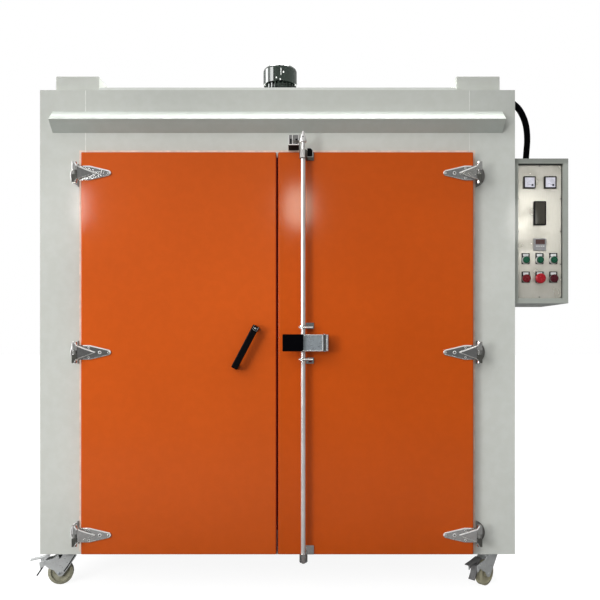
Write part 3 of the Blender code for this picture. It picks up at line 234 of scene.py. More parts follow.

# Keeper: insets from its box, its bars of painted highlight, and the thin dark sheets of painted
# shade on the header and under it
KEEPER_INSET = 0.001
KEEPER_SHELF_UP = 0.0018
KEEPER_EDGE_SIDE = 0.0018
KEEPER_SECOND_EDGE = 0.0165
KEEPER_EDGE_BOTTOM = 0.022
KEEPER_PROBE = 0.006
KEEPER_SHELF_BAR = (0.0036, 0.0014)
KEEPER_EDGE_BAR = (0.0030, 0.0010)
KEEPER_SHADE_SIDE = 0.002
KEEPER_SHADE_BOTTOM = 0.020
KEEPER_SHADE_DEPTHS = (0.00025, 0.00005)
KEEPER_UNDER_FRONT = 0.003
KEEPER_UNDER_DEPTHS = (0.0008, 0.0002)

# Lips that paint the shade on the doors' meeting edges, the header's joints, and the pale line round
# the doors
LIP_REACH = 0.0013
LIP_FRONT = 0.0032
LIP_BACK = 0.0120
LIP_END = 0.004
JOINT_HALF = 0.0012
JOINT_BACK = 0.001
JOINT_BOTTOM = 0.012
JOINT_TOP = 0.002
PALE_LINE_LEFT_FAR = 0.0185
PALE_LINE_LEFT_NEAR = 0.0125
PALE_LINE_RIGHT_FAR = 0.0165
PALE_LINE_RIGHT_NEAR = 0.0105
PALE_LINE_SIDE_TOP = 0.0105
PALE_LINE_TOP_LOW = 0.0108
PALE_LINE_TOP_HIGH = 0.0170
PALE_LINE_RISE = 0.0003
PALE_LINE_SINK = 0.0005

# Motor cowl: screws as (x, z, radius) and the points of its seam, where a bright bar paints a glint
MOTOR_SCREWS = ((-0.1083, 2.2890, 0.0040), (-0.0887, 2.2800, 0.0034), (-0.0735, 2.3161, 0.0040))
MOTOR_SCREW_SINK = 0.0005
MOTOR_SCREW_RISE = 0.0030
MOTOR_SEAM_GLINT = ((-0.0853, 2.300), (-0.0853, 2.318), (-0.0853, 2.336))
MOTOR_GLINT_BAR = (0.0036, 0.0010)

# Left front caster, in x and z; its dark marks paint shade
FORK_OPENING_SHADE = ((-0.9750, 0.1245), (-0.9580, 0.1245), (-0.9700, 0.1070))
FORK_EDGE_SHADE = ((-0.9110, 0.1200), (-0.9315, 0.0880), (-0.9430, 0.0700), (-0.9540, 0.0550))
FORK_SHADE_BAR = (0.0046, 0.0006)
AXLE_BOLT = (-0.9720, 0.0500)
AXLE_BOLT_SINK = 0.0006
AXLE_BOLT_HEAD = (0.0060, 0.0035)
PEDAL_TREAD_SHADE = ((-1.0385, 0.0764), (-1.0470, 0.0600), (-1.0590, 0.0430))
PEDAL_SHADE_BAR = (0.0050, 0.0006)
CASTER_LIFT = 0.0002


# Node helpers

def new_material(name):
    made = bpy.data.materials.new(name)
    made.use_nodes = True
    return made, made.node_tree, made.node_tree.nodes["Principled BSDF"]


def feed(tree, node, **inputs):
    """Link or set a node's inputs, named with underscores for spaces."""
    for key, value in inputs.items():
        socket = node.inputs[key.replace("_", " ")]
        if isinstance(value, bpy.types.NodeSocket):
            tree.links.new(value, socket)
        else:
            socket.default_value = value


def add_node(tree, kind, **inputs):
    made = tree.nodes.new(kind)
    feed(tree, made, **inputs)
    return made


def coordinates(tree, kind):
    return tree.nodes.new("ShaderNodeTexCoord").outputs[kind]


def axes(tree):
    """X, Y and Z: from 0 to 1 over a piece, or from -1 to 1 over the world's directions."""
    place = coordinates(tree, "Generated")
    return add_node(tree, "ShaderNodeSeparateXYZ", Vector=place).outputs


def noise(tree, scale, detail=4.0, roughness=0.55, stretch=None):
    """A noise pattern in metres of the object, stretched if asked."""
    place = coordinates(tree, "Object")
    if stretch:
        place = add_node(tree, "ShaderNodeMapping", Vector=place, Scale=stretch).outputs["Vector"]
    made = add_node(
        tree, "ShaderNodeTexNoise", Vector=place, Scale=scale, Detail=detail, Roughness=roughness
    )
    return made.outputs["Fac"]


def ramp(tree, source, *stops):
    """A colour ramp through (position, colour) stops."""
    made = add_node(tree, "ShaderNodeValToRGB", Fac=source)
    elements = made.color_ramp.elements
    while len(elements) < len(stops):
        elements.new(0.5)
    for element, (position, colour) in zip(elements, stops):
        element.position = position
        element.color = (*colour, 1.0)
    return made.outputs["Color"]


def levels(tree, source, low, high, out_low, out_high):
    limits = {"From_Min": low, "From_Max": high, "To_Min": out_low, "To_Max": out_high}
    return add_node(tree, "ShaderNodeMapRange", Value=source, **limits).outputs["Result"]


def mix_colours(tree, factor, first, second, blend="MIX"):
    """Blend two colours by a factor, where each may be a value or a socket."""
    made = tree.nodes.new("ShaderNodeMix")
    made.data_type = "RGBA"
    made.blend_type = blend
    for socket, value in ((0, factor), (6, first), (7, second)):
        if isinstance(value, bpy.types.NodeSocket):
            tree.links.new(value, made.inputs[socket])
        elif socket == 0:
            made.inputs[0].default_value = value
        else:
            made.inputs[socket].default_value = (*value, 1.0)
    return made.outputs[2]


def bump(tree, shader, *layers):
    """Stack (height, strength, distance) layers into the shader's normal."""
    last = {}
    for height, strength, distance in layers:
        made = add_node(
            tree, "ShaderNodeBump", Height=height, Strength=strength, Distance=distance, **last
        )
        last = {"Normal": made.outputs["Normal"]}
    feed(tree, shader, **last)


def grey(value):
    return (value, value, value)


def shaded(colour, share):
    return tuple(channel * share for channel in colour)


# Materials

def enamel(name, colour, roughness, coat, waviness, mirror=0.22, coat_roughness=0.09, painted_shading=None):
    """Sprayed enamel: colour drift, orange peel, the sheet's waves and, if asked, painted shading by
    height.
    """
    made, tree, shader = new_material(name)
    drift = noise(tree, 1.7, 3.0)
    speck = noise(tree, 26.0, 5.0)
    base = ramp(tree, drift, (0.35, shaded(colour, 0.96)), (0.65, shaded(colour, 1.04)))
    dulled = ramp(tree, speck, (0.42, (0.965, 0.965, 0.955)), (0.62, grey(1.0)))
    painted = mix_colours(tree, 1.0, base, dulled, "MULTIPLY")
    # Painted light and shade: the colour is scaled by height over the piece
    if painted_shading:
        stops = [(height, grey(share)) for height, share in painted_shading]
        painted = mix_colours(tree, 1.0, painted, ramp(tree, axes(tree)["Z"], *stops), "MULTIPLY")
    feed(
        tree,
        shader,
        Base_Color=painted,
        Roughness=levels(tree, noise(tree, 9.0), 0.35, 0.7, roughness * 0.85, roughness * 1.2),
        Coat_Weight=coat,
        Coat_Roughness=coat_roughness,
        IOR=1.45,
        Specular_IOR_Level=mirror,
    )
    waves = (noise(tree, 1.4, 2.0, 0.4), waviness, 0.02)
    peel = (noise(tree, 380.0, 2.0), 0.035, 0.001)
    bump(tree, shader, waves, peel)
    return made


def plated(name, colour, low_roughness, high_roughness, grain=60.0, metallic=1.0, dents=0.05):
    """Bright plating or zinc on pressed steel, with cloudy patches, uneven gloss and dents."""
    made, tree, shader = new_material(name)
    cloud = noise(tree, grain, 6.0, 0.6)
    tint = ramp(tree, cloud, (0.3, shaded(colour, 0.88)), (0.55, colour), (0.8, shaded(colour, 1.08)))
    gloss = levels(tree, noise(tree, grain * 2.6, 5.0), 0.3, 0.7, low_roughness, high_roughness)
    feed(tree, shader, Base_Color=tint, Metallic=metallic, Roughness=gloss)
    bump(tree, shader, (noise(tree, grain * 0.9, 4.0), dents, 0.0008))
    return made


def moulded(name, colour, roughness, mirror=0.3):
    """Moulded plastic or rubber with a fine grain."""
    made, tree, shader = new_material(name)
    drift = noise(tree, 40.0, 4.0)
    tint = ramp(tree, drift, (0.35, shaded(colour, 0.85)), (0.7, shaded(colour, 1.12)))
    gloss = levels(tree, noise(tree, 120.0), 0.3, 0.7, roughness * 0.85, roughness * 1.15)
    feed(tree, shader, Base_Color=tint, Roughness=gloss, Specular_IOR_Level=mirror)
    bump(tree, shader, (noise(tree, 900.0, 3.0), 0.05, 0.0006))
    return made


def brushed_sheet(name):
    """Stainless sheet with a fine upright grain, warm tint and finger marks."""
    made, tree, shader = new_material(name)
    grain = noise(tree, 40.0, 4.0, 0.6, (9.0, 9.0, 0.5))
    smudge = noise(tree, 12.0, 2.5, 0.5)
    metal = ramp(tree, grain, (0.3, (0.66, 0.64, 0.57)), (0.7, (0.72, 0.70, 0.63)))
    marks = ramp(tree, smudge, (0.50, grey(1.0)), (0.70, (0.80, 0.79, 0.77)))
    tint = mix_colours(tree, 0.8, metal, marks, "MULTIPLY")
    gloss = levels(tree, smudge, 0.4, 0.7, 0.22, 0.28)
    feed(tree, shader, Base_Color=tint, Metallic=0.6, Roughness=gloss)
    return made


def rolled_nylon(name):
    """Olive nylon wheel with pale scuffs."""
    made, tree, shader = new_material(name)
    scuff = noise(tree, 70.0, 6.0, 0.65)
    olive = (0.3, (0.19, 0.185, 0.13))
    tint = ramp(tree, scuff, olive, (0.55, (0.33, 0.32, 0.24)), (0.8, (0.46, 0.45, 0.36)))
    feed(tree, shader, Base_Color=tint, Roughness=levels(tree, scuff, 0.3, 0.8, 0.38, 0.62))
    bump(tree, shader, (noise(tree, 260.0, 4.0), 0.15, 0.0008))
    return made


def clear_cover(name, tint, roughness, coat):
    """A dark or pale glossy cover over an instrument."""
    made, tree, shader = new_material(name)
    cloud = noise(tree, 35.0, 4.0)
    base = ramp(tree, cloud, (0.3, shaded(tint, 0.8)), (0.7, shaded(tint, 1.15)))
    feed(tree, shader, Base_Color=base, Roughness=roughness, Coat_Weight=coat, Coat_Roughness=0.03)
    return made


def body_paint(name, colour, waviness, painted_shading=None):
    return enamel(name, colour, 0.38, 0.40, waviness, painted_shading=painted_shading)


def door_paint(name, colour):
    return enamel(name, colour, 0.34, 0.40, 0.10, 0.09, 0.10, DOOR_PAINTED_SHADING)


# Painted light and shade: share of a paint's colour at heights from a piece's lower edge, 0, to its
# top, 1
# The doors darken towards the bottom, the hood's upper lip is lit and its lower face shaded, and the
# header, walls and control box darken at the top
DOOR_PAINTED_SHADING = ((0.0, 0.80), (0.12, 0.87), (0.35, 0.95), (0.62, 1.0), (0.85, 0.97), (1.0, 0.90))
HOOD_PAINTED_SHADING = ((0.0, 0.80), (0.55, 0.82), (0.72, 1.22), (1.0, 1.24))
HEADER_PAINTED_SHADING = ((0.0, 1.0), (0.6, 0.98), (0.8, 0.88), (1.0, 0.88))
LEFT_WALL_PAINTED_SHADING = ((0.0, 0.97), (0.2, 1.0), (0.88, 0.99), (0.95, 0.91), (1.0, 0.91))
RIGHT_WALL_PAINTED_SHADING = ((0.0, 0.96), (0.3, 1.02), (0.6, 1.08), (0.88, 1.0), (0.95, 0.84), (1.0, 0.84))
CONTROL_PAINTED_SHADING = ((0.0, 1.0), (0.955, 1.0), (0.975, 0.70), (1.0, 0.70))

# Finishes by the record's slots
GREY = (0.550, 0.566, 0.532)
MATERIALS = {
    "grey_paint": body_paint("light_grey_enamel", GREY, 0.05),
    "orange_paint": door_paint("orange_enamel", (0.595, 0.093, 0.0085)),
    "motor_paint": enamel("motor_enamel", (0.016, 0.024, 0.019), 0.12, 1.0, 0.01, 0.8),
    "brushed_panel": brushed_sheet("brushed_stainless"),
    "chrome": plated("bright_plate", (0.74, 0.74, 0.73), 0.08, 0.14, dents=0.0),
    "zinc_steel": plated("zinc_plate", (0.50, 0.54, 0.57), 0.22, 0.42, 30.0, 0.66),
    "black_rubber": moulded("black_rubber", (0.0012, 0.0012, 0.0020), 0.5, 0.03),
    "black_plastic": moulded("black_plastic", (0.0022, 0.0022, 0.003), 0.36, 0.10),
    "grey_plastic": moulded("grey_plastic", (0.30, 0.30, 0.31), 0.45),
    "green_button": moulded("green_plastic", (0.001, 0.080, 0.038), 0.28),
    "red_button": moulded("red_plastic", (0.36, 0.008, 0.014), 0.28),
    "wheel": rolled_nylon("olive_nylon"),
}

# Paints of single sheets, copies of the body's paints with painted light and shade
# The right door's orange, darker than the left door's as painted shade
SHADED_RIGHT_ORANGE = door_paint("right_orange_shaded_enamel", (0.545, 0.080, 0.0045))
HOOD_PAINT = body_paint("hood_enamel", (0.560, 0.600, 0.560), 0.03, HOOD_PAINTED_SHADING)
HEADER_PAINT = body_paint("header_enamel", GREY, 0.05, HEADER_PAINTED_SHADING)
LEFT_WALL_PAINT = body_paint("left_wall_enamel", GREY, 0.05, LEFT_WALL_PAINTED_SHADING)
RIGHT_WALL_PAINT = body_paint("right_wall_enamel", (0.560, 0.580, 0.548), 0.05, RIGHT_WALL_PAINTED_SHADING)
# Lighter than the body's grey, as painted light from above
LIT_ROOF_PAINT = body_paint("roof_enamel_painted_light", (0.64, 0.66, 0.63), 0.03)
# Darker than the body's grey, as painted shade
SHADED_BOX_PAINT = body_paint("roof_box_enamel_painted_shade", (0.475, 0.490, 0.460), 0.04)
CONTROL_PAINT = body_paint("control_box_enamel", (0.36, 0.382, 0.352), 0.04, CONTROL_PAINTED_SHADING)

# Metals of single pieces
# The hinges' upper covers, lighter than the lower ones as painted light
COVER_STEEL = plated("cover_steel", (0.42, 0.42, 0.41), 0.30, 0.44, 40.0, 0.75, 0.0)
# The hinge leaves, a dark copy of the hinge metal as painted shade
SHADED_LEAF_STEEL = plated("leaf_steel_painted_shade", (0.20, 0.20, 0.19), 0.50, 0.62, 40.0, 0.25, 0.0)
# The hinges' lower rims, darker than the upper ones as painted shade
SHADED_LOWER_RIM = plated("lower_rim", (0.50, 0.50, 0.48), 0.22, 0.32, 20.0, 0.6, 0.0)
# Bright metal for screws and bezels, also for bars that paint highlights on edges
BRIGHT_METAL_AND_HIGHLIGHT = plated("bright_metal_and_painted_highlight", (0.95, 0.95, 0.94), 0.18, 0.22, 20.0, 0.35, 0.0)
# The right pedal, darker than the left one's steel as painted shade
SHADED_PEDAL_STEEL = plated("pedal_steel_painted_shade", (0.13, 0.13, 0.13), 0.50, 0.65, 30.0, 0.2, 0.0)
# Dark steel as painted shade, on the hinges' lower covers and the rod's top guide
PAINTED_SHADE_STEEL = plated("painted_shade_steel", (0.10, 0.10, 0.09), 0.35, 0.50, 30.0, 0.6, 0.0)
FORK_STEEL = plated("fork_steel", (0.66, 0.68, 0.68), 0.25, 0.42, 45.0, 0.4)
LEVER_STEEL = plated("lever_steel", (0.42, 0.47, 0.51), 0.22, 0.40, 30.0, 0.6, 0.0)
ROD_STEEL = plated("rod_steel", (0.74, 0.73, 0.72), 0.24, 0.27, 20.0, 0.55, 0.0)
# Dark steel for screws, also for marks that paint the shade in recesses and on turned faces
DARK_STEEL_AND_SHADE = plated("dark_steel_and_painted_shade", (0.20, 0.19, 0.18), 0.3, 0.5)

# Plastics, fillers, covers and painted shade
PALE_NYLON = moulded("pale_nylon", (0.50, 0.47, 0.33), 0.45)
# Dark red plastic, also used as painted shade in the lower guide's slot
DARK_RED = moulded("dark_red_plastic_and_painted_shade", (0.15, 0.005, 0.010), 0.28)
MAROON = moulded("maroon_plastic", (0.060, 0.004, 0.010), 0.28)
BRIGHT_RED = moulded("bright_red_plastic", (0.36, 0.008, 0.016), 0.26)
INK = moulded("dial_ink", (0.02, 0.02, 0.04), 0.5)
LABEL_WHITE = moulded("label_white", (0.72, 0.73, 0.73), 0.4)
# Black for painted shade in gaps, holes and under parts
PAINTED_SHADE = moulded("painted_shade_black", (0.006, 0.006, 0.006), 0.6, 0.05)
# Dark red as painted shade on the doors' orange edges in the gap
SHADED_DOOR_EDGE = moulded("shaded_door_edge", (0.30, 0.014, 0.008), 0.5)
SEALANT = moulded("joint_filler", (0.70, 0.71, 0.68), 0.35)
WARM_PALE_LINE = moulded("warm_pale_line", (0.74, 0.58, 0.48), 0.5)
DIAL_WHITE = clear_cover("dial_card", (0.70, 0.70, 0.79), 0.25, 0.2)
WINDOW_DARK = clear_cover("dark_window", (0.040, 0.036, 0.024), 0.35, 0.15)
DISPLAY_RED = clear_cover("display_red", (0.050, 0.008, 0.006), 0.25, 0.2)

# Nodes whose finish isn't their slot's
OWN_FINISHES = {
    "left_wall": LEFT_WALL_PAINT,
    "right_wall": RIGHT_WALL_PAINT,
    "front_header": HEADER_PAINT,
    "door_hood": HOOD_PAINT,
    "roof_panel": LIT_ROOF_PAINT,
    "left_roof_box": SHADED_BOX_PAINT,
    "right_roof_box": SHADED_BOX_PAINT,
    "control_cabinet": CONTROL_PAINT,
    "right_door": SHADED_RIGHT_ORANGE,
    "lock_rod": ROD_STEEL,
    "lock_lever": LEVER_STEEL,
    # Painted shade on the rod's top guide
    "rod_guide_top": PAINTED_SHADE_STEEL,
    "stop_button_1": DARK_RED,
    "stop_button_3": MAROON,
    "emergency_stop": BRIGHT_RED,
    "front_left_fork": FORK_STEEL,
    "front_right_fork": FORK_STEEL,
    "front_left_brake_pedal": FORK_STEEL,
    "front_right_brake_pedal": SHADED_PEDAL_STEEL,
    "front_right_wheel": PALE_NYLON,
}
for each_side in SIDES:
    for each_row in HINGE_ROWS:
        OWN_FINISHES[f"{each_side}_hinge_leaf_{each_row}"] = SHADED_LEAF_STEEL
SHEET_NODES = (
    "left_wall", "right_wall", "rear_wall", "roof_panel", "front_header", "door_hood",
    "control_cabinet",
)


def paint(obj, made_of):
    obj.data.materials.clear()
    obj.data.materials.append(made_of)


def dress_frame():
    """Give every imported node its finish, and the sheets their soft edges."""
    for row in frame["record"]["subparts"]:
        node = row["node"]
        obj = NODES[node]
        paint(obj, OWN_FINISHES.get(node, MATERIALS[row["material_slot"]]))
        obj.data.shade_smooth()
        obj.data.set_sharp_from_angle(angle=SMOOTH_ANGLE)
    for node in SHEET_NODES:
        soften(NODES[node], SHEET_EDGE)


def soften(obj, width):
    edge = obj.modifiers.new("soft_edges", "BEVEL")
    edge.width = width
    edge.segments = 2
    edge.limit_method = "ANGLE"
    edge.angle_limit = BEVEL_ANGLE


# Piece helpers

def add_object(name, data):
    made = bpy.data.objects.new(name, data)
    bpy.context.scene.collection.objects.link(made)
    return made


def finish_piece(name, bm, made_of, body, edge=None):
    """Make a mesh into a piece that rides on a body."""
    bmesh.ops.recalc_face_normals(bm, faces=bm.faces)
    mesh = bpy.data.meshes.new(name)
    bm.to_mesh(mesh)
    bm.free()
    mesh.materials.append(made_of)
    mesh.shade_smooth()
    mesh.set_sharp_from_angle(angle=SMOOTH_ANGLE)
    obj = add_object(name, mesh)
    if edge:
        soften(obj, edge)
    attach(obj, body)


def add_block(bm, low, high):
    low = Vector(low)
    high = Vector(high)
    place = Matrix.Translation((low + high) / 2) @ Matrix.Diagonal((*(high - low), 1.0))
    bmesh.ops.create_cube(bm, size=1.0, matrix=place)


def block(name, low, high, made_of, body):
    bm = bmesh.new()
    add_block(bm, low, high)
    finish_piece(name, bm, made_of, body)


def facing_viewer(centre):
    """The place at a centre whose +Z looks at the viewer."""
    turn = Vector((0, 0, 1)).rotation_difference(Vector((0, -1, 0)))
    return Matrix.Translation(centre) @ turn.to_matrix().to_4x4()


def join_rings(bm, rings):
    """Faces between each ring of points and the next, with both ends closed."""
    sides = len(rings[0])
    for first, second in zip(rings, rings[1:]):
        for i in range(sides):
            j = (i + 1) % sides
            bm.faces.new((first[i], first[j], second[j], second[i]))
    bm.faces.new(list(reversed(rings[0])))
    bm.faces.new(rings[-1])


def add_turned(bm, centre, profile, sides):
    """A turned shape that faces the viewer: (radius, height) pairs from its base up."""
    place = facing_viewer(centre)
    rings = []
    for radius, height in profile:
        ring = []
        for i in range(sides):
            turn = 2 * pi * i / sides
            point = Vector((radius * cos(turn), radius * sin(turn), height))
            ring.append(bm.verts.new(place @ point))
        rings.append(ring)
    join_rings(bm, rings)


def add_slab(bm, far, near):
    """A closed plate between two outlines with as many points each."""
    far = [bm.verts.new(point) for point in far]
    near = [bm.verts.new(point) for point in near]
    bm.faces.new(far)
    bm.faces.new(list(reversed(near)))
    for i in range(len(far)):
        j = (i + 1) % len(far)
        bm.faces.new((far[i], near[i], near[j], far[j]))


def pan_head(radius, rise):
    """Profile of a low rounded screw head."""
    return ((radius, 0.0), (radius, rise * 0.35), (radius * 0.86, rise * 0.75), (radius * 0.5, rise))


def add_screw(bm, centre, radius, rise):
    add_turned(bm, centre, pan_head(radius, rise), 16)


# Cabinet

def make_joint_fillers():
    """Painted filler lines where the header meets the side walls."""
    low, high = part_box("front_header")
    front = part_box("left_wall")[0].y
    bm = bmesh.new()
    for x in (low.x, high.x):
        bottom = (x - JOINT_HALF, front - PROUD, low.z + JOINT_BOTTOM)
        add_block(bm, bottom, (x + JOINT_HALF, front + JOINT_BACK, high.z - JOINT_TOP))
    finish_piece("header_joint_filler", bm, SEALANT, "cabinet")


# Control panel

def make_panel_screws():
    """Two columns of screws down the panel's sides and one at the middle of its foot and head."""
    low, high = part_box("control_panel")
    face = panel_face()
    left = low.x + PANEL_SCREW_SIDE
    right = high.x - PANEL_SCREW_SIDE
    middle = (left + right) / 2
    span = high.z - low.z - 2 * PANEL_SCREW_END
    gaps = PANEL_SCREW_ROWS - 1
    rows = [low.z + PANEL_SCREW_END + i * span / gaps for i in range(PANEL_SCREW_ROWS)]
    places = [(x, z) for z in rows[:-1] for x in (left, right)]
    places += [(middle, rows[0]), (middle, rows[-1])]
    bm = bmesh.new()
    for x, z in places:
        add_screw(bm, (x, face, z), PANEL_SCREW_RADIUS, PANEL_SCREW_RISE)
    finish_piece("control_panel_screws", bm, DARK_STEEL_AND_SHADE, "cabinet")


def panel_face():
    """Y of the flat panel, just behind the instruments."""
    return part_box("left_meter")[1].y + METER_SEAT


def set_in(node, name, thickness, made_of):
    """A sheet set into an instrument's frame; gives the frame's box and the sheet's front."""
    low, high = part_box(node)
    inset = INSTRUMENT_INSET
    back = low.y + INSTRUMENT_RECESS
    front = back - thickness
    bottom = (low.x + inset, front, low.z + inset)
    block(name, bottom, (high.x - inset, back, high.z - inset), made_of, "cabinet")
    return low, high, front


def dial_direction(degrees):
    """A direction on a dial, anticlockwise from its right."""
    turn = radians(degrees)
    return Vector((cos(turn), 0, sin(turn)))


def make_meter(side):
    """A dial card with an arc of marks, a needle and a round stud."""
    node = side + "_meter"
    low, high, face = set_in(node, node + "_card", CARD_THICKNESS, DIAL_WHITE)
    hub = Vector((high.x - DIAL_HUB_INSET, face, low.z + DIAL_HUB_INSET))
    bm = bmesh.new()
    for i in range(DIAL_POINTS):
        out = dial_direction(DIAL_START + DIAL_SWEEP * i / (DIAL_POINTS - 1))
        mark = DIAL_LONG_MARK if i % 2 == 0 else DIAL_SHORT_MARK
        add_mark(bm, hub + out * (DIAL_REACH - mark), hub + out * DIAL_REACH, DIAL_MARK_WIDTH)
    needle = dial_direction(NEEDLE_TURNS[side])
    add_mark(bm, hub - needle * NEEDLE_TAIL, hub + needle * NEEDLE_REACH, NEEDLE_WIDTH)
    add_turned(bm, hub, DIAL_STUD, 20)
    finish_piece(node + "_scale", bm, INK, "cabinet")


def add_mark(bm, start, end, width):
    """A thin flat bar that faces the viewer."""
    along = (end - start).normalized()
    across = Vector((-along.z, 0, along.x)) * width / 2
    out = Vector((0, -MARK_RISE, 0))
    corners = (start + across, start - across, end - across, end + across)
    add_slab(bm, corners, [corner + out for corner in corners])


def make_window():
    """The tall instrument's dark window, set in its frame."""
    set_in("window_instrument", "window_pane", PANE_THICKNESS, WINDOW_DARK)


def make_controller_face():
    """The controller's grey face with its dark red display and a row of keys."""
    slot = "grey_plastic"
    low, high, face = set_in(
        "temperature_controller", "controller_fascia", FASCIA_THICKNESS, MATERIALS[slot]
    )
    bottom = (low.x + DISPLAY_LEFT, face - PROUD, high.z - DISPLAY_BOTTOM)
    top = (high.x - DISPLAY_RIGHT, face, high.z - DISPLAY_TOP)
    block("controller_display", bottom, top, DISPLAY_RED, "cabinet")
    bm = bmesh.new()
    for i in range(KEY_COUNT):
        x = low.x + KEY_START + i * KEY_PITCH
        bottom = (x - KEY_HALF, face - KEY_RISE, low.z + KEY_BOTTOM)
        add_block(bm, bottom, (x + KEY_HALF, face, low.z + KEY_TOP))
    finish_piece("controller_keys", bm, LABEL_WHITE, "cabinet", edge=KEY_EDGE)


def legend_places():
    """Name and middle of each push button on the panel."""
    names = (
        "start_button_1", "start_button_2", "start_button_3",
        "stop_button_1", "emergency_stop", "stop_button_3",
    )
    for name in names:
        low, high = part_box(name)
        yield name, (low.x + high.x) / 2, (low.z + high.z) / 2


def make_legends():
    """A black holder behind each button with a bare white insert above it."""
    face = panel_face()
    front = face - LEGEND_THICKNESS
    holders = bmesh.new()
    inserts = bmesh.new()
    for _, x, z in legend_places():
        top = z + LEGEND_ABOVE - INSERT_BELOW_TOP
        add_ring_plate(holders, x, z, face)
        bottom = (x - INSERT_HALF, front - PROUD, top - INSERT_HEIGHT)
        add_block(inserts, bottom, (x + INSERT_HALF, front + PROUD, top))
    finish_piece("legend_holders", holders, MATERIALS["black_plastic"], "cabinet")
    finish_piece("legend_inserts", inserts, LABEL_WHITE, "cabinet")


def add_ring_plate(bm, x, z, face):
    """A rectangle with a round hole for the button's bezel, as one closed plate."""
    half = LEGEND_HOLE + LEGEND_RIM
    low = Vector((-half, -LEGEND_BELOW))
    high = Vector((half, LEGEND_ABOVE))
    turns = [2 * pi * (i + 0.5) / LEGEND_STEPS for i in range(LEGEND_STEPS)]
    inner = []
    outer = []
    for turn in turns:
        direction = Vector((cos(turn), sin(turn)))
        side = high.x if direction.x > 0 else low.x
        end = high.y if direction.y > 0 else low.y
        inner.append(direction * LEGEND_HOLE)
        outer.append(direction * min(side / direction.x, end / direction.y))
    for corner in ((high.x, high.y), (low.x, high.y), (low.x, low.y), (high.x, low.y)):
        wanted = atan2(corner[1], corner[0]) % (2 * pi)
        nearest = min(range(LEGEND_STEPS), key=lambda i: abs(turns[i] - wanted))
        outer[nearest] = Vector(corner)
    rings = [
        [bm.verts.new((x + point.x, depth, z + point.y)) for point in ring]
        for depth in (face, face - LEGEND_THICKNESS)
        for ring in (inner, outer)
    ]
    inner_back, outer_back, inner_front, outer_front = rings
    for i in range(LEGEND_STEPS):
        j = (i + 1) % LEGEND_STEPS
        bm.faces.new((inner_front[i], inner_front[j], outer_front[j], outer_front[i]))
        bm.faces.new((outer_back[i], outer_back[j], inner_back[j], inner_back[i]))
        bm.faces.new((outer_front[i], outer_front[j], outer_back[j], outer_back[i]))
        bm.faces.new((inner_back[i], inner_back[j], inner_front[j], inner_front[i]))


# Trims

def face_at(node, x, z):
    """Y of the surface of a node that the viewer meets first at x and z."""
    mesh = NODES[node].data
    place = NODES[node].matrix_world
    surface = BVHTree.FromPolygons(
        [place @ vertex.co for vertex in mesh.vertices],
        [polygon.vertices[:] for polygon in mesh.polygons],
    )
    return surface.ray_cast(Vector((x, RAY_START, z)), Vector((0, 1, 0)))[0].y


def on_face(node, line, lift=0.0):
    """Points in front of a node's surface, from (x, z) pairs."""
    return [Vector((x, face_at(node, x, z) - lift, z)) for x, z in line]


def add_bar(bm, points, width, rise):
    """A raised rounded bar along points on a face that looks at the viewer."""
    points = [Vector(point) for point in points]
    rings = []
    for i, point in enumerate(points):
        along = points[min(i + 1, len(points) - 1)] - points[max(i - 1, 0)]
        across = Vector((-along.z, 0, along.x)).normalized() * width / 2
        ring = []
        for side, out in BAR_SECTION:
            ring.append(bm.verts.new(point + across * side + Vector((0, -rise * out, 0))))
        rings.append(ring)
    join_rings(bm, rings)


def add_upright(bm, x, depth, bottom, top, bar):
    add_bar(bm, ((x, depth, bottom), (x, depth, top)), *bar)


def add_level(bm, left, right, depth, height, bar):
    add_bar(bm, ((left, depth, height), (right, depth, height)), *bar)


def add_patch(bm, node, corners):
    """A thin closed plate on a node's front, through (x, z) corners."""
    add_slab(bm, on_face(node, corners, -PATCH_SINK), on_face(node, corners, PATCH_RISE))


def add_tube(bm, centre, inner, outer, rise, sides):
    """A low ring with a rounded rim, which faces the viewer."""
    place = facing_viewer(centre)
    middle = (inner + outer) / 2
    loop = ((inner, 0), (outer, 0), (outer, rise * 0.6), (middle, rise), (inner, rise * 0.8))
    rings = []
    for i in range(sides):
        turn = 2 * pi * i / sides
        rings.append([
            bm.verts.new(place @ Vector((radius * cos(turn), radius * sin(turn), height)))
            for radius, height in loop
        ])
    for i, ring in enumerate(rings):
        after = rings[(i + 1) % sides]
        for k in range(len(loop)):
            m = (k + 1) % len(loop)
            bm.faces.new((ring[k], ring[m], after[m], after[k]))


class Hinge:
    """One hinge of the frame: its pin, its door and the depths of its faces."""

    def __init__(self, side, row):
        low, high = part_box(f"{side}_hinge_strap_{row}")
        self.side = side
        self.name = f"{side}_hinge_{row}"
        self.body = side + "_door_leaf"
        self.inward = 1 if side == "left" else -1
        self.pin = low.x + HINGE_KNUCKLE if side == "left" else high.x - HINGE_KNUCKLE
        self.middle = (low.z + high.z) / 2
        self.door_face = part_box(side + "_door")[0].y
        self.leaf_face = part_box("left_wall")[0].y - HINGE_PLATE
        self.plate_face = self.door_face - HINGE_PLATE
        self.cover_face = self.door_face - COVER_OUT

    def place(self, inwards, up, depth):
        return Vector((self.pin + self.inward * inwards, depth, self.middle + up))

    def line(self, places, depth):
        return [self.place(inwards, up, depth) for inwards, up in places]

    def fan_face(self, inwards):
        fall = HINGE_FAN_ROOT - HINGE_FAN_END
        return self.door_face - HINGE_FAN_ROOT + fall * inwards / HINGE_FAN


def strap_edge():
    """The upper and the lower half of a strap's outline, as (inwards, up) from its pin."""
    edge = HINGE_STRAP_HALF - RIM_INSET
    tip = [
        (HINGE_TIP + HINGE_TIP_RADIUS * sin(radians(turn)), HINGE_TIP_RADIUS * cos(radians(turn)))
        for turn in range(15, 166, 30)
    ]
    upper = [(RIM_START, edge), (RIM_SHOULDER, edge), *tip[:4]]
    lower = [*tip[3:], (RIM_SHOULDER, -edge), (RIM_START, -edge)]
    return upper, lower


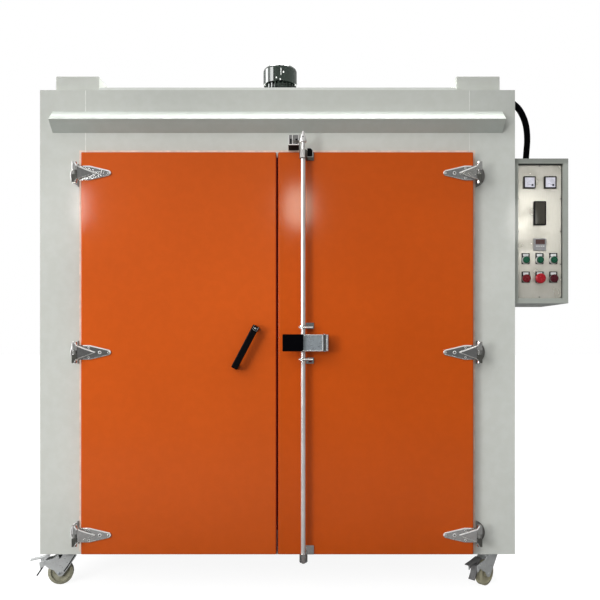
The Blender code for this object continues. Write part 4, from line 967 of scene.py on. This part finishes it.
def flipped(line, sign):
    return [(inwards, sign * up) for inwards, up in line]


def make_strap_trim(hinge):
    """Rolled edges round a strap and along its fan, and the covers over its pin; the upper ones lit
    and the lower ones darker as painted light and shade.
    """
    rims = bmesh.new()
    lower_rims = bmesh.new()
    upper_cover = bmesh.new()
    lower_cover = bmesh.new()
    upper, lower = strap_edge()
    add_bar(rims, hinge.line(upper, hinge.plate_face), RIM_WIDTH, RIM_RISE)
    add_bar(lower_rims, hinge.line(lower, hinge.plate_face), LOW_RIM_WIDTH, LOW_RIM_RISE)
    front = hinge.cover_face
    halves = ((1, rims, FAN_RIM_WIDTH, upper_cover), (-1, lower_rims, LOW_RIM_WIDTH, lower_cover))
    for sign, rim, width, cover in halves:
        fan = [hinge.place(x, z, hinge.fan_face(x)) for x, z in flipped(FAN_EDGE, sign)]
        add_bar(rim, fan, width, LOW_RIM_RISE)
        add_bar(rim, hinge.line(flipped(COVER_EDGE, sign), front), width, LOW_RIM_RISE)
        outline = flipped(COVER_OUTLINE, sign)
        back = front + COVER_THICKNESS
        add_slab(cover, hinge.line(outline, back), hinge.line(outline, front))
    # The left hinges' bright stem is a painted highlight
    if hinge.side == "left":
        add_bar(rims, hinge.line(STEM_LINE, front), STEM_WIDTH, LOW_RIM_RISE)
    finish_piece(hinge.name + "_rims", rims, BRIGHT_METAL_AND_HIGHLIGHT, hinge.body)
    finish_piece(hinge.name + "_lower_rims", lower_rims, SHADED_LOWER_RIM, hinge.body)
    finish_piece(hinge.name + "_upper_cover", upper_cover, COVER_STEEL, hinge.body)
    finish_piece(hinge.name + "_lower_cover", lower_cover, PAINTED_SHADE_STEEL, hinge.body)


def add_recessed_screw(heads, holes, centre, radius, top, hole, floor):
    """A flat screw head in one mesh and, in another, a dark disc that paints the shade of its recess,
    by four radii.
    """
    add_turned(heads, centre, ((radius, -PROUD), (radius, PROUD), (top, SCREW_TOP)), 18)
    add_turned(holes, centre, ((hole, PROUD), (hole, RECESS_RIM), (floor, RECESS_TOP)), 14)


def make_strap_screws(hinge):
    heads = bmesh.new()
    holes = bmesh.new()
    for inwards, up, radius in STRAP_SCREWS:
        centre = hinge.place(inwards, up, hinge.plate_face)
        radii = (radius, radius * 0.8, radius * 0.62, radius * 0.4)
        add_recessed_screw(heads, holes, centre, *radii)
    finish_piece(hinge.name + "_strap_screws", heads, BRIGHT_METAL_AND_HIGHLIGHT, hinge.body)
    finish_piece(hinge.name + "_strap_recess_shade", holes, DARK_STEEL_AND_SHADE, hinge.body)


def make_leaf_trim(hinge):
    """Screws on a leaf and its rolled edge, painted bright on the left hinges as a highlight and dark
    on the right ones as shade.
    """
    heads = bmesh.new()
    holes = bmesh.new()
    for centre in hinge.line(LEAF_SCREWS, hinge.leaf_face):
        add_recessed_screw(heads, holes, centre, *LEAF_SCREW_RADII)
    middle = HINGE_LEAF_RADIUS - HINGE_LEAF_REACH
    bend = HINGE_LEAF_RADIUS - LEAF_RIM_INSET
    edge = [
        (middle - bend * cos(radians(turn)), bend * sin(radians(turn)))
        for turn in range(-66, 67, 12)
    ]
    # Painted highlight on the left hinges' rims and painted shade on the right ones'
    rim = heads if hinge.side == "left" else holes
    add_bar(rim, hinge.line(edge, hinge.leaf_face), LEAF_RIM_WIDTH, LEAF_RIM_RISE)
    finish_piece(hinge.name + "_leaf_screws", heads, BRIGHT_METAL_AND_HIGHLIGHT, "cabinet")
    finish_piece(hinge.name + "_leaf_recess_shade", holes, DARK_STEEL_AND_SHADE, "cabinet")


def make_hinge_trim(side, row):
    hinge = Hinge(side, row)
    make_strap_trim(hinge)
    make_strap_screws(hinge)
    make_leaf_trim(hinge)


def make_handle_trim():
    """The fixing screw and the moulded line at the pull's upper end."""
    low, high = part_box("left_handle")
    top = Vector((high.x - HANDLE_END_SIDE, low.y, high.z - HANDLE_END_TOP))
    down = Vector((-sin(HANDLE_TILT), 0, -cos(HANDLE_TILT)))
    across = Vector((cos(HANDLE_TILT), 0, -sin(HANDLE_TILT)))
    out = Vector((0, -PROUD / 2, 0))
    bm = bmesh.new()
    line = [top + down * fall + across * aside + out for fall, aside in HANDLE_LINE]
    add_bar(bm, line, *HANDLE_LINE_BAR)
    finish_piece("handle_end_line", bm, MATERIALS["zinc_steel"], "left_door_leaf")
    bm = bmesh.new()
    add_tube(bm, top + down * HANDLE_SCREW_DOWN, *HANDLE_SCREW_RING, 20)
    finish_piece("handle_screw", bm, BRIGHT_METAL_AND_HIGHLIGHT, "left_door_leaf")


def make_lever_trim():
    """Rolled edges on the lever, bright as painted highlights, and dark bars painting the shade on
    its folded end.
    """
    node = "lock_lever"
    low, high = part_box(node)
    fold = high.x - LEVER_FOLD
    probe = high.z - LEVER_PROBE
    flat = face_at(node, fold - LEVER_PROBE, probe)
    end = face_at(node, high.x - LEVER_INSET, probe)
    bottom = low.z + LEVER_INSET
    top = high.z - LEVER_INSET
    end_bottom = low.z + LEVER_END_INSET
    end_top = high.z - LEVER_END_INSET
    bm = bmesh.new()
    add_upright(bm, fold, flat, bottom, top, LEVER_FOLD_BAR)
    add_upright(bm, high.x - LEVER_END, end, end_bottom, end_top, LEVER_END_BAR)
    for height in (low.z + LEVER_EDGE_INSET, high.z - LEVER_EDGE_INSET):
        add_level(bm, LEVER_LEFT, fold, flat, height, LEVER_EDGE_BAR)
    finish_piece("lever_rims", bm, BRIGHT_METAL_AND_HIGHLIGHT, "lever")
    bm = bmesh.new()
    for beyond in LEVER_SHADE_PLACES:
        x = fold + beyond
        add_upright(bm, x, face_at(node, x, probe), bottom, top, LEVER_SHADE_BAR)
    finish_piece("lever_fold_shade", bm, DARK_STEEL_AND_SHADE, "lever")


def make_guide_trim(node, height):
    """A bright clamp bar across the front of the rod, with its web to the guide's foot; its
    brightness is partly a painted highlight.
    """
    low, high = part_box(node)
    front = low.y - GUIDE_LIFT
    bm = bmesh.new()
    add_level(bm, GUIDE_BAR_LEFT, GUIDE_BAR_RIGHT, front, height, GUIDE_BAR)
    bottom = (GUIDE_WEB_LEFT, front, height - GUIDE_WEB_HALF)
    add_block(bm, bottom, (GUIDE_WEB_RIGHT, high.y - GUIDE_FOOT, height + GUIDE_WEB_HALF))
    finish_piece(node + "_clamp", bm, BRIGHT_METAL_AND_HIGHLIGHT, "right_door_leaf")


def make_guide_slot():
    """A dark red patch in the lower guide's foot, painting the shade in its slot."""
    bm = bmesh.new()
    add_patch(bm, "rod_guide_lower", GUIDE_SLOT)
    finish_piece("rod_guide_lower_slot", bm, DARK_RED, "right_door_leaf")


def make_keeper_trim():
    """Bright bars painting highlights on the keeper's edges, and dark sheets painting the shade on
    the header behind it and under its shelf.
    """
    low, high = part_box("lock_keeper")
    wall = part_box("front_header")[0].y
    top = high.z - KEEPER_INSET
    right = high.x - KEEPER_INSET
    bm = bmesh.new()
    shelf = low.z + KEEPER_SHELF_UP
    add_level(bm, low.x + KEEPER_INSET, right, low.y, shelf, KEEPER_SHELF_BAR)
    edges = (low.x + KEEPER_EDGE_SIDE, low.x + KEEPER_SECOND_EDGE, high.x - KEEPER_EDGE_SIDE)
    for x in edges:
        face = face_at("lock_keeper", x, high.z - KEEPER_PROBE)
        add_upright(bm, x, face, low.z + KEEPER_EDGE_BOTTOM, top, KEEPER_EDGE_BAR)
    finish_piece("keeper_highlights", bm, BRIGHT_METAL_AND_HIGHLIGHT, "cabinet")
    left = low.x + KEEPER_SHADE_SIDE
    front, back = (wall - out for out in KEEPER_SHADE_DEPTHS)
    under, over = (low.z - down for down in KEEPER_UNDER_DEPTHS)
    bm = bmesh.new()
    bottom = (left, front, low.z + KEEPER_SHADE_BOTTOM)
    add_block(bm, bottom, (high.x - KEEPER_SHADE_SIDE, back, top))
    add_block(bm, (left, low.y + KEEPER_UNDER_FRONT, under), (right, wall - KEEPER_INSET, over))
    finish_piece("keeper_shade", bm, PAINTED_SHADE, "cabinet")


def make_rod_trim():
    """A dark disc painting the shade in the hole through the rod's head, and a dark bar painting the
    shade on its tongue.
    """
    x, z = ROD_HOLE
    bm = bmesh.new()
    centre = (x, face_at("lock_rod", x, z) + ROD_HOLE_SINK, z)
    add_turned(bm, centre, ROD_HOLE_PROFILE, 16)
    finish_piece("rod_head_hole_shade", bm, PAINTED_SHADE, "rod")
    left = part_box("lock_rod")[0].x
    face = face_at("lock_rod", left + TONGUE_PROBE, TONGUE_HEIGHT)
    bm = bmesh.new()
    add_level(bm, left + TONGUE_START, left + TONGUE_END, face, TONGUE_HEIGHT, TONGUE_BAR)
    finish_piece("rod_tongue_shade", bm, DARK_STEEL_AND_SHADE, "rod")


def make_top_guide_trim():
    """A dark sheet painting the shadow beside the rod's top guide, with a bright rim and the guide's
    bright rib as painted highlights.
    """
    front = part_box("right_door")[0].y - SHADOW_OUT
    near = [(x, front, z) for x, z in SHADOW_OUTLINE]
    bm = bmesh.new()
    add_slab(bm, [(x, front + SHADOW_THICKNESS, z) for x, z in SHADOW_OUTLINE], near)
    finish_piece("top_guide_shadow", bm, PAINTED_SHADE, "right_door_leaf")
    bm = bmesh.new()
    add_bar(bm, near[1:] + near[:1], *SHADOW_RIM)
    finish_piece("top_guide_rim_highlight", bm, BRIGHT_METAL_AND_HIGHLIGHT, "right_door_leaf")
    low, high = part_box("rod_guide_top")
    middle = TOP_GUIDE_MIDDLE
    depth = face_at("rod_guide_top", middle, (low.z + high.z) / 2)
    bottom = low.z + TOP_GUIDE_INSET
    bm = bmesh.new()
    add_upright(bm, middle, depth, bottom, high.z - TOP_GUIDE_INSET, TOP_GUIDE_RIB)
    finish_piece("top_guide_rib", bm, ROD_STEEL, "right_door_leaf")


def make_shaded_door_lips():
    """A thin dark red lip on each door's meeting edge, painting the shade on the doors' orange edges
    in the gap.
    """
    for side in SIDES:
        low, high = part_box(side + "_door")
        edge = high.x if side == "left" else low.x
        lip = edge + (LIP_REACH if side == "left" else -LIP_REACH)
        bottom = (min(edge, lip), low.y + LIP_FRONT, low.z + LIP_END)
        top = (max(edge, lip), low.y + LIP_BACK, high.z - LIP_END)
        block(side + "_door_lip", bottom, top, SHADED_DOOR_EDGE, side + "_door_leaf")


def make_button_bezels():
    """A bright bezel round each start button."""
    face = panel_face() - LEGEND_THICKNESS
    bm = bmesh.new()
    for name, x, z in legend_places():
        if name.startswith("start"):
            add_tube(bm, (x, face, z), BEZEL_HOLE, BEZEL_RADIUS, BEZEL_RISE, 28)
    finish_piece("start_button_bezels", bm, BRIGHT_METAL_AND_HIGHLIGHT, "cabinet")


def make_panel_gap():
    """Dark strips painting the shade in the gap along the panel's sides and top."""
    low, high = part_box("control_panel")
    front = low.y - PROUD
    back = front + PANEL_GAP_DEPTH
    bm = bmesh.new()
    add_block(bm, (low.x, front, low.z), (low.x + PANEL_GAP_LEFT, back, high.z))
    add_block(bm, (high.x - PANEL_GAP_RIGHT, front, low.z), (high.x, back, high.z))
    add_block(bm, (low.x, front, high.z - PANEL_GAP_TOP), (high.x, back, high.z))
    finish_piece("panel_gap_shade", bm, PAINTED_SHADE, "cabinet")


def make_frame_pale_line():
    """A warm pale line round the doors, where the frame meets them."""
    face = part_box("left_wall")[0].y
    front = face - PALE_LINE_RISE
    back = face + PALE_LINE_SINK
    low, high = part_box("left_door")
    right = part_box("right_door")[1].x
    far_left = low.x - PALE_LINE_LEFT_FAR
    far_right = right + PALE_LINE_RIGHT_FAR
    bm = bmesh.new()
    side_top = high.z + PALE_LINE_SIDE_TOP
    add_block(bm, (far_left, front, low.z), (low.x - PALE_LINE_LEFT_NEAR, back, side_top))
    add_block(bm, (right + PALE_LINE_RIGHT_NEAR, front, low.z), (far_right, back, side_top))
    bottom = (far_left, front, high.z + PALE_LINE_TOP_LOW)
    add_block(bm, bottom, (far_right, back, high.z + PALE_LINE_TOP_HIGH))
    finish_piece("frame_pale_line", bm, WARM_PALE_LINE, "cabinet")


def make_motor_trim():
    """Bright screws on the motor's cowl, and a bright bar along its seam that paints a glint."""
    node = "motor_cowl"
    bm = bmesh.new()
    for x, z, radius in MOTOR_SCREWS:
        centre = (x, face_at(node, x, z) + MOTOR_SCREW_SINK, z)
        add_screw(bm, centre, radius, MOTOR_SCREW_RISE)
    add_bar(bm, on_face(node, MOTOR_SEAM_GLINT), *MOTOR_GLINT_BAR)
    finish_piece("motor_screws", bm, BRIGHT_METAL_AND_HIGHLIGHT, "cabinet")


def make_caster_trim():
    """Dark marks painting the shade in the left fork's opening and along its edge, its axle bolt, and
    a dark bar painting the shade on the pedal's tread.
    """
    fork = "front_left_fork"
    pedal = "front_left_brake_pedal"
    zinc = MATERIALS["zinc_steel"]
    bm = bmesh.new()
    add_patch(bm, fork, FORK_OPENING_SHADE)
    add_bar(bm, on_face(fork, FORK_EDGE_SHADE, CASTER_LIFT), *FORK_SHADE_BAR)
    finish_piece("front_left_fork_shade", bm, PAINTED_SHADE, "front_left_swivel")
    bm = bmesh.new()
    x, z = AXLE_BOLT
    add_screw(bm, (x, face_at(fork, x, z) + AXLE_BOLT_SINK, z), *AXLE_BOLT_HEAD)
    finish_piece("front_left_axle_bolt", bm, zinc, "front_left_swivel")
    bm = bmesh.new()
    add_bar(bm, on_face(pedal, PEDAL_TREAD_SHADE, CASTER_LIFT), *PEDAL_SHADE_BAR)
    finish_piece("front_left_pedal_shade", bm, PAINTED_SHADE, "front_left_pedal")


# Floor, light and camera

def make_floor():
    """A pale floor that stays pale for the camera and gives back less light to the oven."""
    bm = bmesh.new()
    bmesh.ops.create_grid(bm, x_segments=1, y_segments=1, size=FLOOR_SIZE)
    mesh = bpy.data.meshes.new("floor")
    bm.to_mesh(mesh)
    bm.free()
    made, tree, shader = new_material("pale_floor")
    seen = tree.nodes.new("ShaderNodeLightPath").outputs["Is Camera Ray"]
    feed(
        tree,
        shader,
        Base_Color=mix_colours(tree, seen, grey(0.17), grey(0.20)),
        Roughness=0.9,
        Specular_IOR_Level=0.1,
        Emission_Color=(1, 1, 1, 1),
        Emission_Strength=levels(tree, seen, 0.0, 1.0, 0.0, FLOOR_GLOW),
    )
    mesh.materials.append(made)
    add_object("floor", mesh)


def make_world():
    """White behind all that the camera sees; for light and mirrors a room with a bright ceiling.

    Mirrors also see a bright window on the left, with one dark post and a dark end.
    """
    world = bpy.data.worlds.new("studio")
    bpy.context.scene.world = world
    world.use_nodes = True
    tree = world.node_tree
    sideways, depth, height = (levels(tree, axis, -1.0, 1.0, 0.0, 1.0) for axis in axes(tree))
    sky = ramp(
        tree,
        height,
        (0.0, grey(0.10)),
        (0.45, grey(0.19)),
        (0.55, grey(0.30)),
        (0.80, grey(0.46)),
        (1.0, (0.62, 0.62, 0.61)),
    )
    facing = ramp(tree, depth, (0.0, grey(0.6)), (0.5, grey(0.9)), (1.0, grey(1.0)))
    window = ramp(tree, sideways, (0.115, grey(6.5)), (0.140, grey(0.0)))
    post = ramp(
        tree,
        depth,
        (0.400, grey(1.0)),
        (0.410, grey(0.1)),
        (0.452, grey(0.1)),
        (0.462, grey(1.0)),
        (0.700, grey(1.0)),
        (0.725, grey(0.05)),
    )
    windows = mix_colours(tree, 1.0, window, post, "MULTIPLY")
    path = tree.nodes.new("ShaderNodeLightPath").outputs
    room = mix_colours(tree, 1.0, facing, sky, "MULTIPLY")
    mirrored = mix_colours(tree, 1.0, room, windows, "ADD")
    lit = mix_colours(tree, path["Is Glossy Ray"], sky, mirrored)
    shown = mix_colours(tree, path["Is Camera Ray"], lit, grey(1.0))
    feed(tree, tree.nodes["Background"], Color=shown, Strength=1.0)


def add_lamp(data, direction):
    """A lamp that shines along a direction."""
    lamp = add_object(data.name, data)
    lamp.rotation_euler = Vector(direction).to_track_quat("-Z", "Y").to_euler()
    return lamp


def area_light(name, place, target, width, height, watts, colour=(1, 1, 1)):
    data = bpy.data.lights.new(name, "AREA")
    data.shape = "ELLIPSE"
    data.size = width
    data.size_y = height
    data.energy = watts
    data.color = colour
    lamp = add_lamp(data, Vector(target) - Vector(place))
    lamp.location = place
    return lamp


def sun_light(name, direction, strength, spread):
    """An even light along a direction, with soft shadows from its spread in degrees."""
    data = bpy.data.lights.new(name, "SUN")
    data.energy = strength
    data.angle = radians(spread)
    return add_lamp(data, direction)


def make_lights():
    """An even key from the upper left, a soft fill, light from above and four small lamps.

    The small lamps stand behind the viewer, and each points at the spot on the front where its
    mirror image shows.
    """
    key = sun_light("key", (0.73, 1.0, -0.60), 1.60, 48)
    fill = area_light("left_fill", (-3.0, -4.2, 1.2), (-0.6, -0.8, 1.1), 1.2, 1.2, 62)
    for lamp in (key, fill):
        lamp.visible_glossy = False
    area_light("overhead", (0.0, 1.2, 5.6), (0.0, 1.2, 0.0), 5.0, 3.6, 1020)
    middle = (-0.012, SMALL_LAMP_Y, 2.308)
    area_light("middle_lamp", middle, (0.0, -0.806, 1.522), 0.28, 0.42, 5.6, (1.0, 0.96, 0.80))
    left = (-2.16, SMALL_LAMP_Y, 2.328)
    area_light("left_lamp", left, (-0.86, -0.806, 1.530), 0.12, 0.42, 3.0)
    wall = (-2.395, SMALL_LAMP_Y, 2.274)
    area_light("wall_lamp", wall, (-0.956, -0.766, 1.51), 0.50, 0.60, 0.7)
    right = (2.24, SMALL_LAMP_Y, 2.184)
    area_light("right_lamp", right, (0.906, -0.75, 1.475), 0.30, 0.44, 4.3, (1.0, 0.99, 0.95))


def make_camera():
    data = bpy.data.cameras.new("camera")
    data.sensor_width = SENSOR_WIDTH
    data.lens = FOCAL_PIXELS * SENSOR_WIDTH / IMAGE_SIZE
    data.shift_y = (HORIZON_PIXEL - IMAGE_SIZE / 2) / IMAGE_SIZE
    camera = add_object("camera", data)
    camera.location = CAMERA_PLACE
    camera.rotation_euler = (radians(90), 0, 0)
    bpy.context.scene.camera = camera


def main():
    make_camera()
    dress_frame()
    make_joint_fillers()
    make_panel_screws()
    make_meter("left")
    make_meter("right")
    make_window()
    make_controller_face()
    make_legends()
    make_button_bezels()
    make_panel_gap()
    for side in SIDES:
        for row in HINGE_ROWS:
            make_hinge_trim(side, row)
    make_handle_trim()
    make_lever_trim()
    for node, height in GUIDE_BARS.items():
        make_guide_trim(node, height)
    make_guide_slot()
    make_keeper_trim()
    make_rod_trim()
    make_top_guide_trim()
    make_shaded_door_lips()
    make_frame_pale_line()
    make_motor_trim()
    make_caster_trim()
    make_floor()
    make_world()
    make_lights()
    bpy.context.scene.view_settings.view_transform = "Standard"


main()
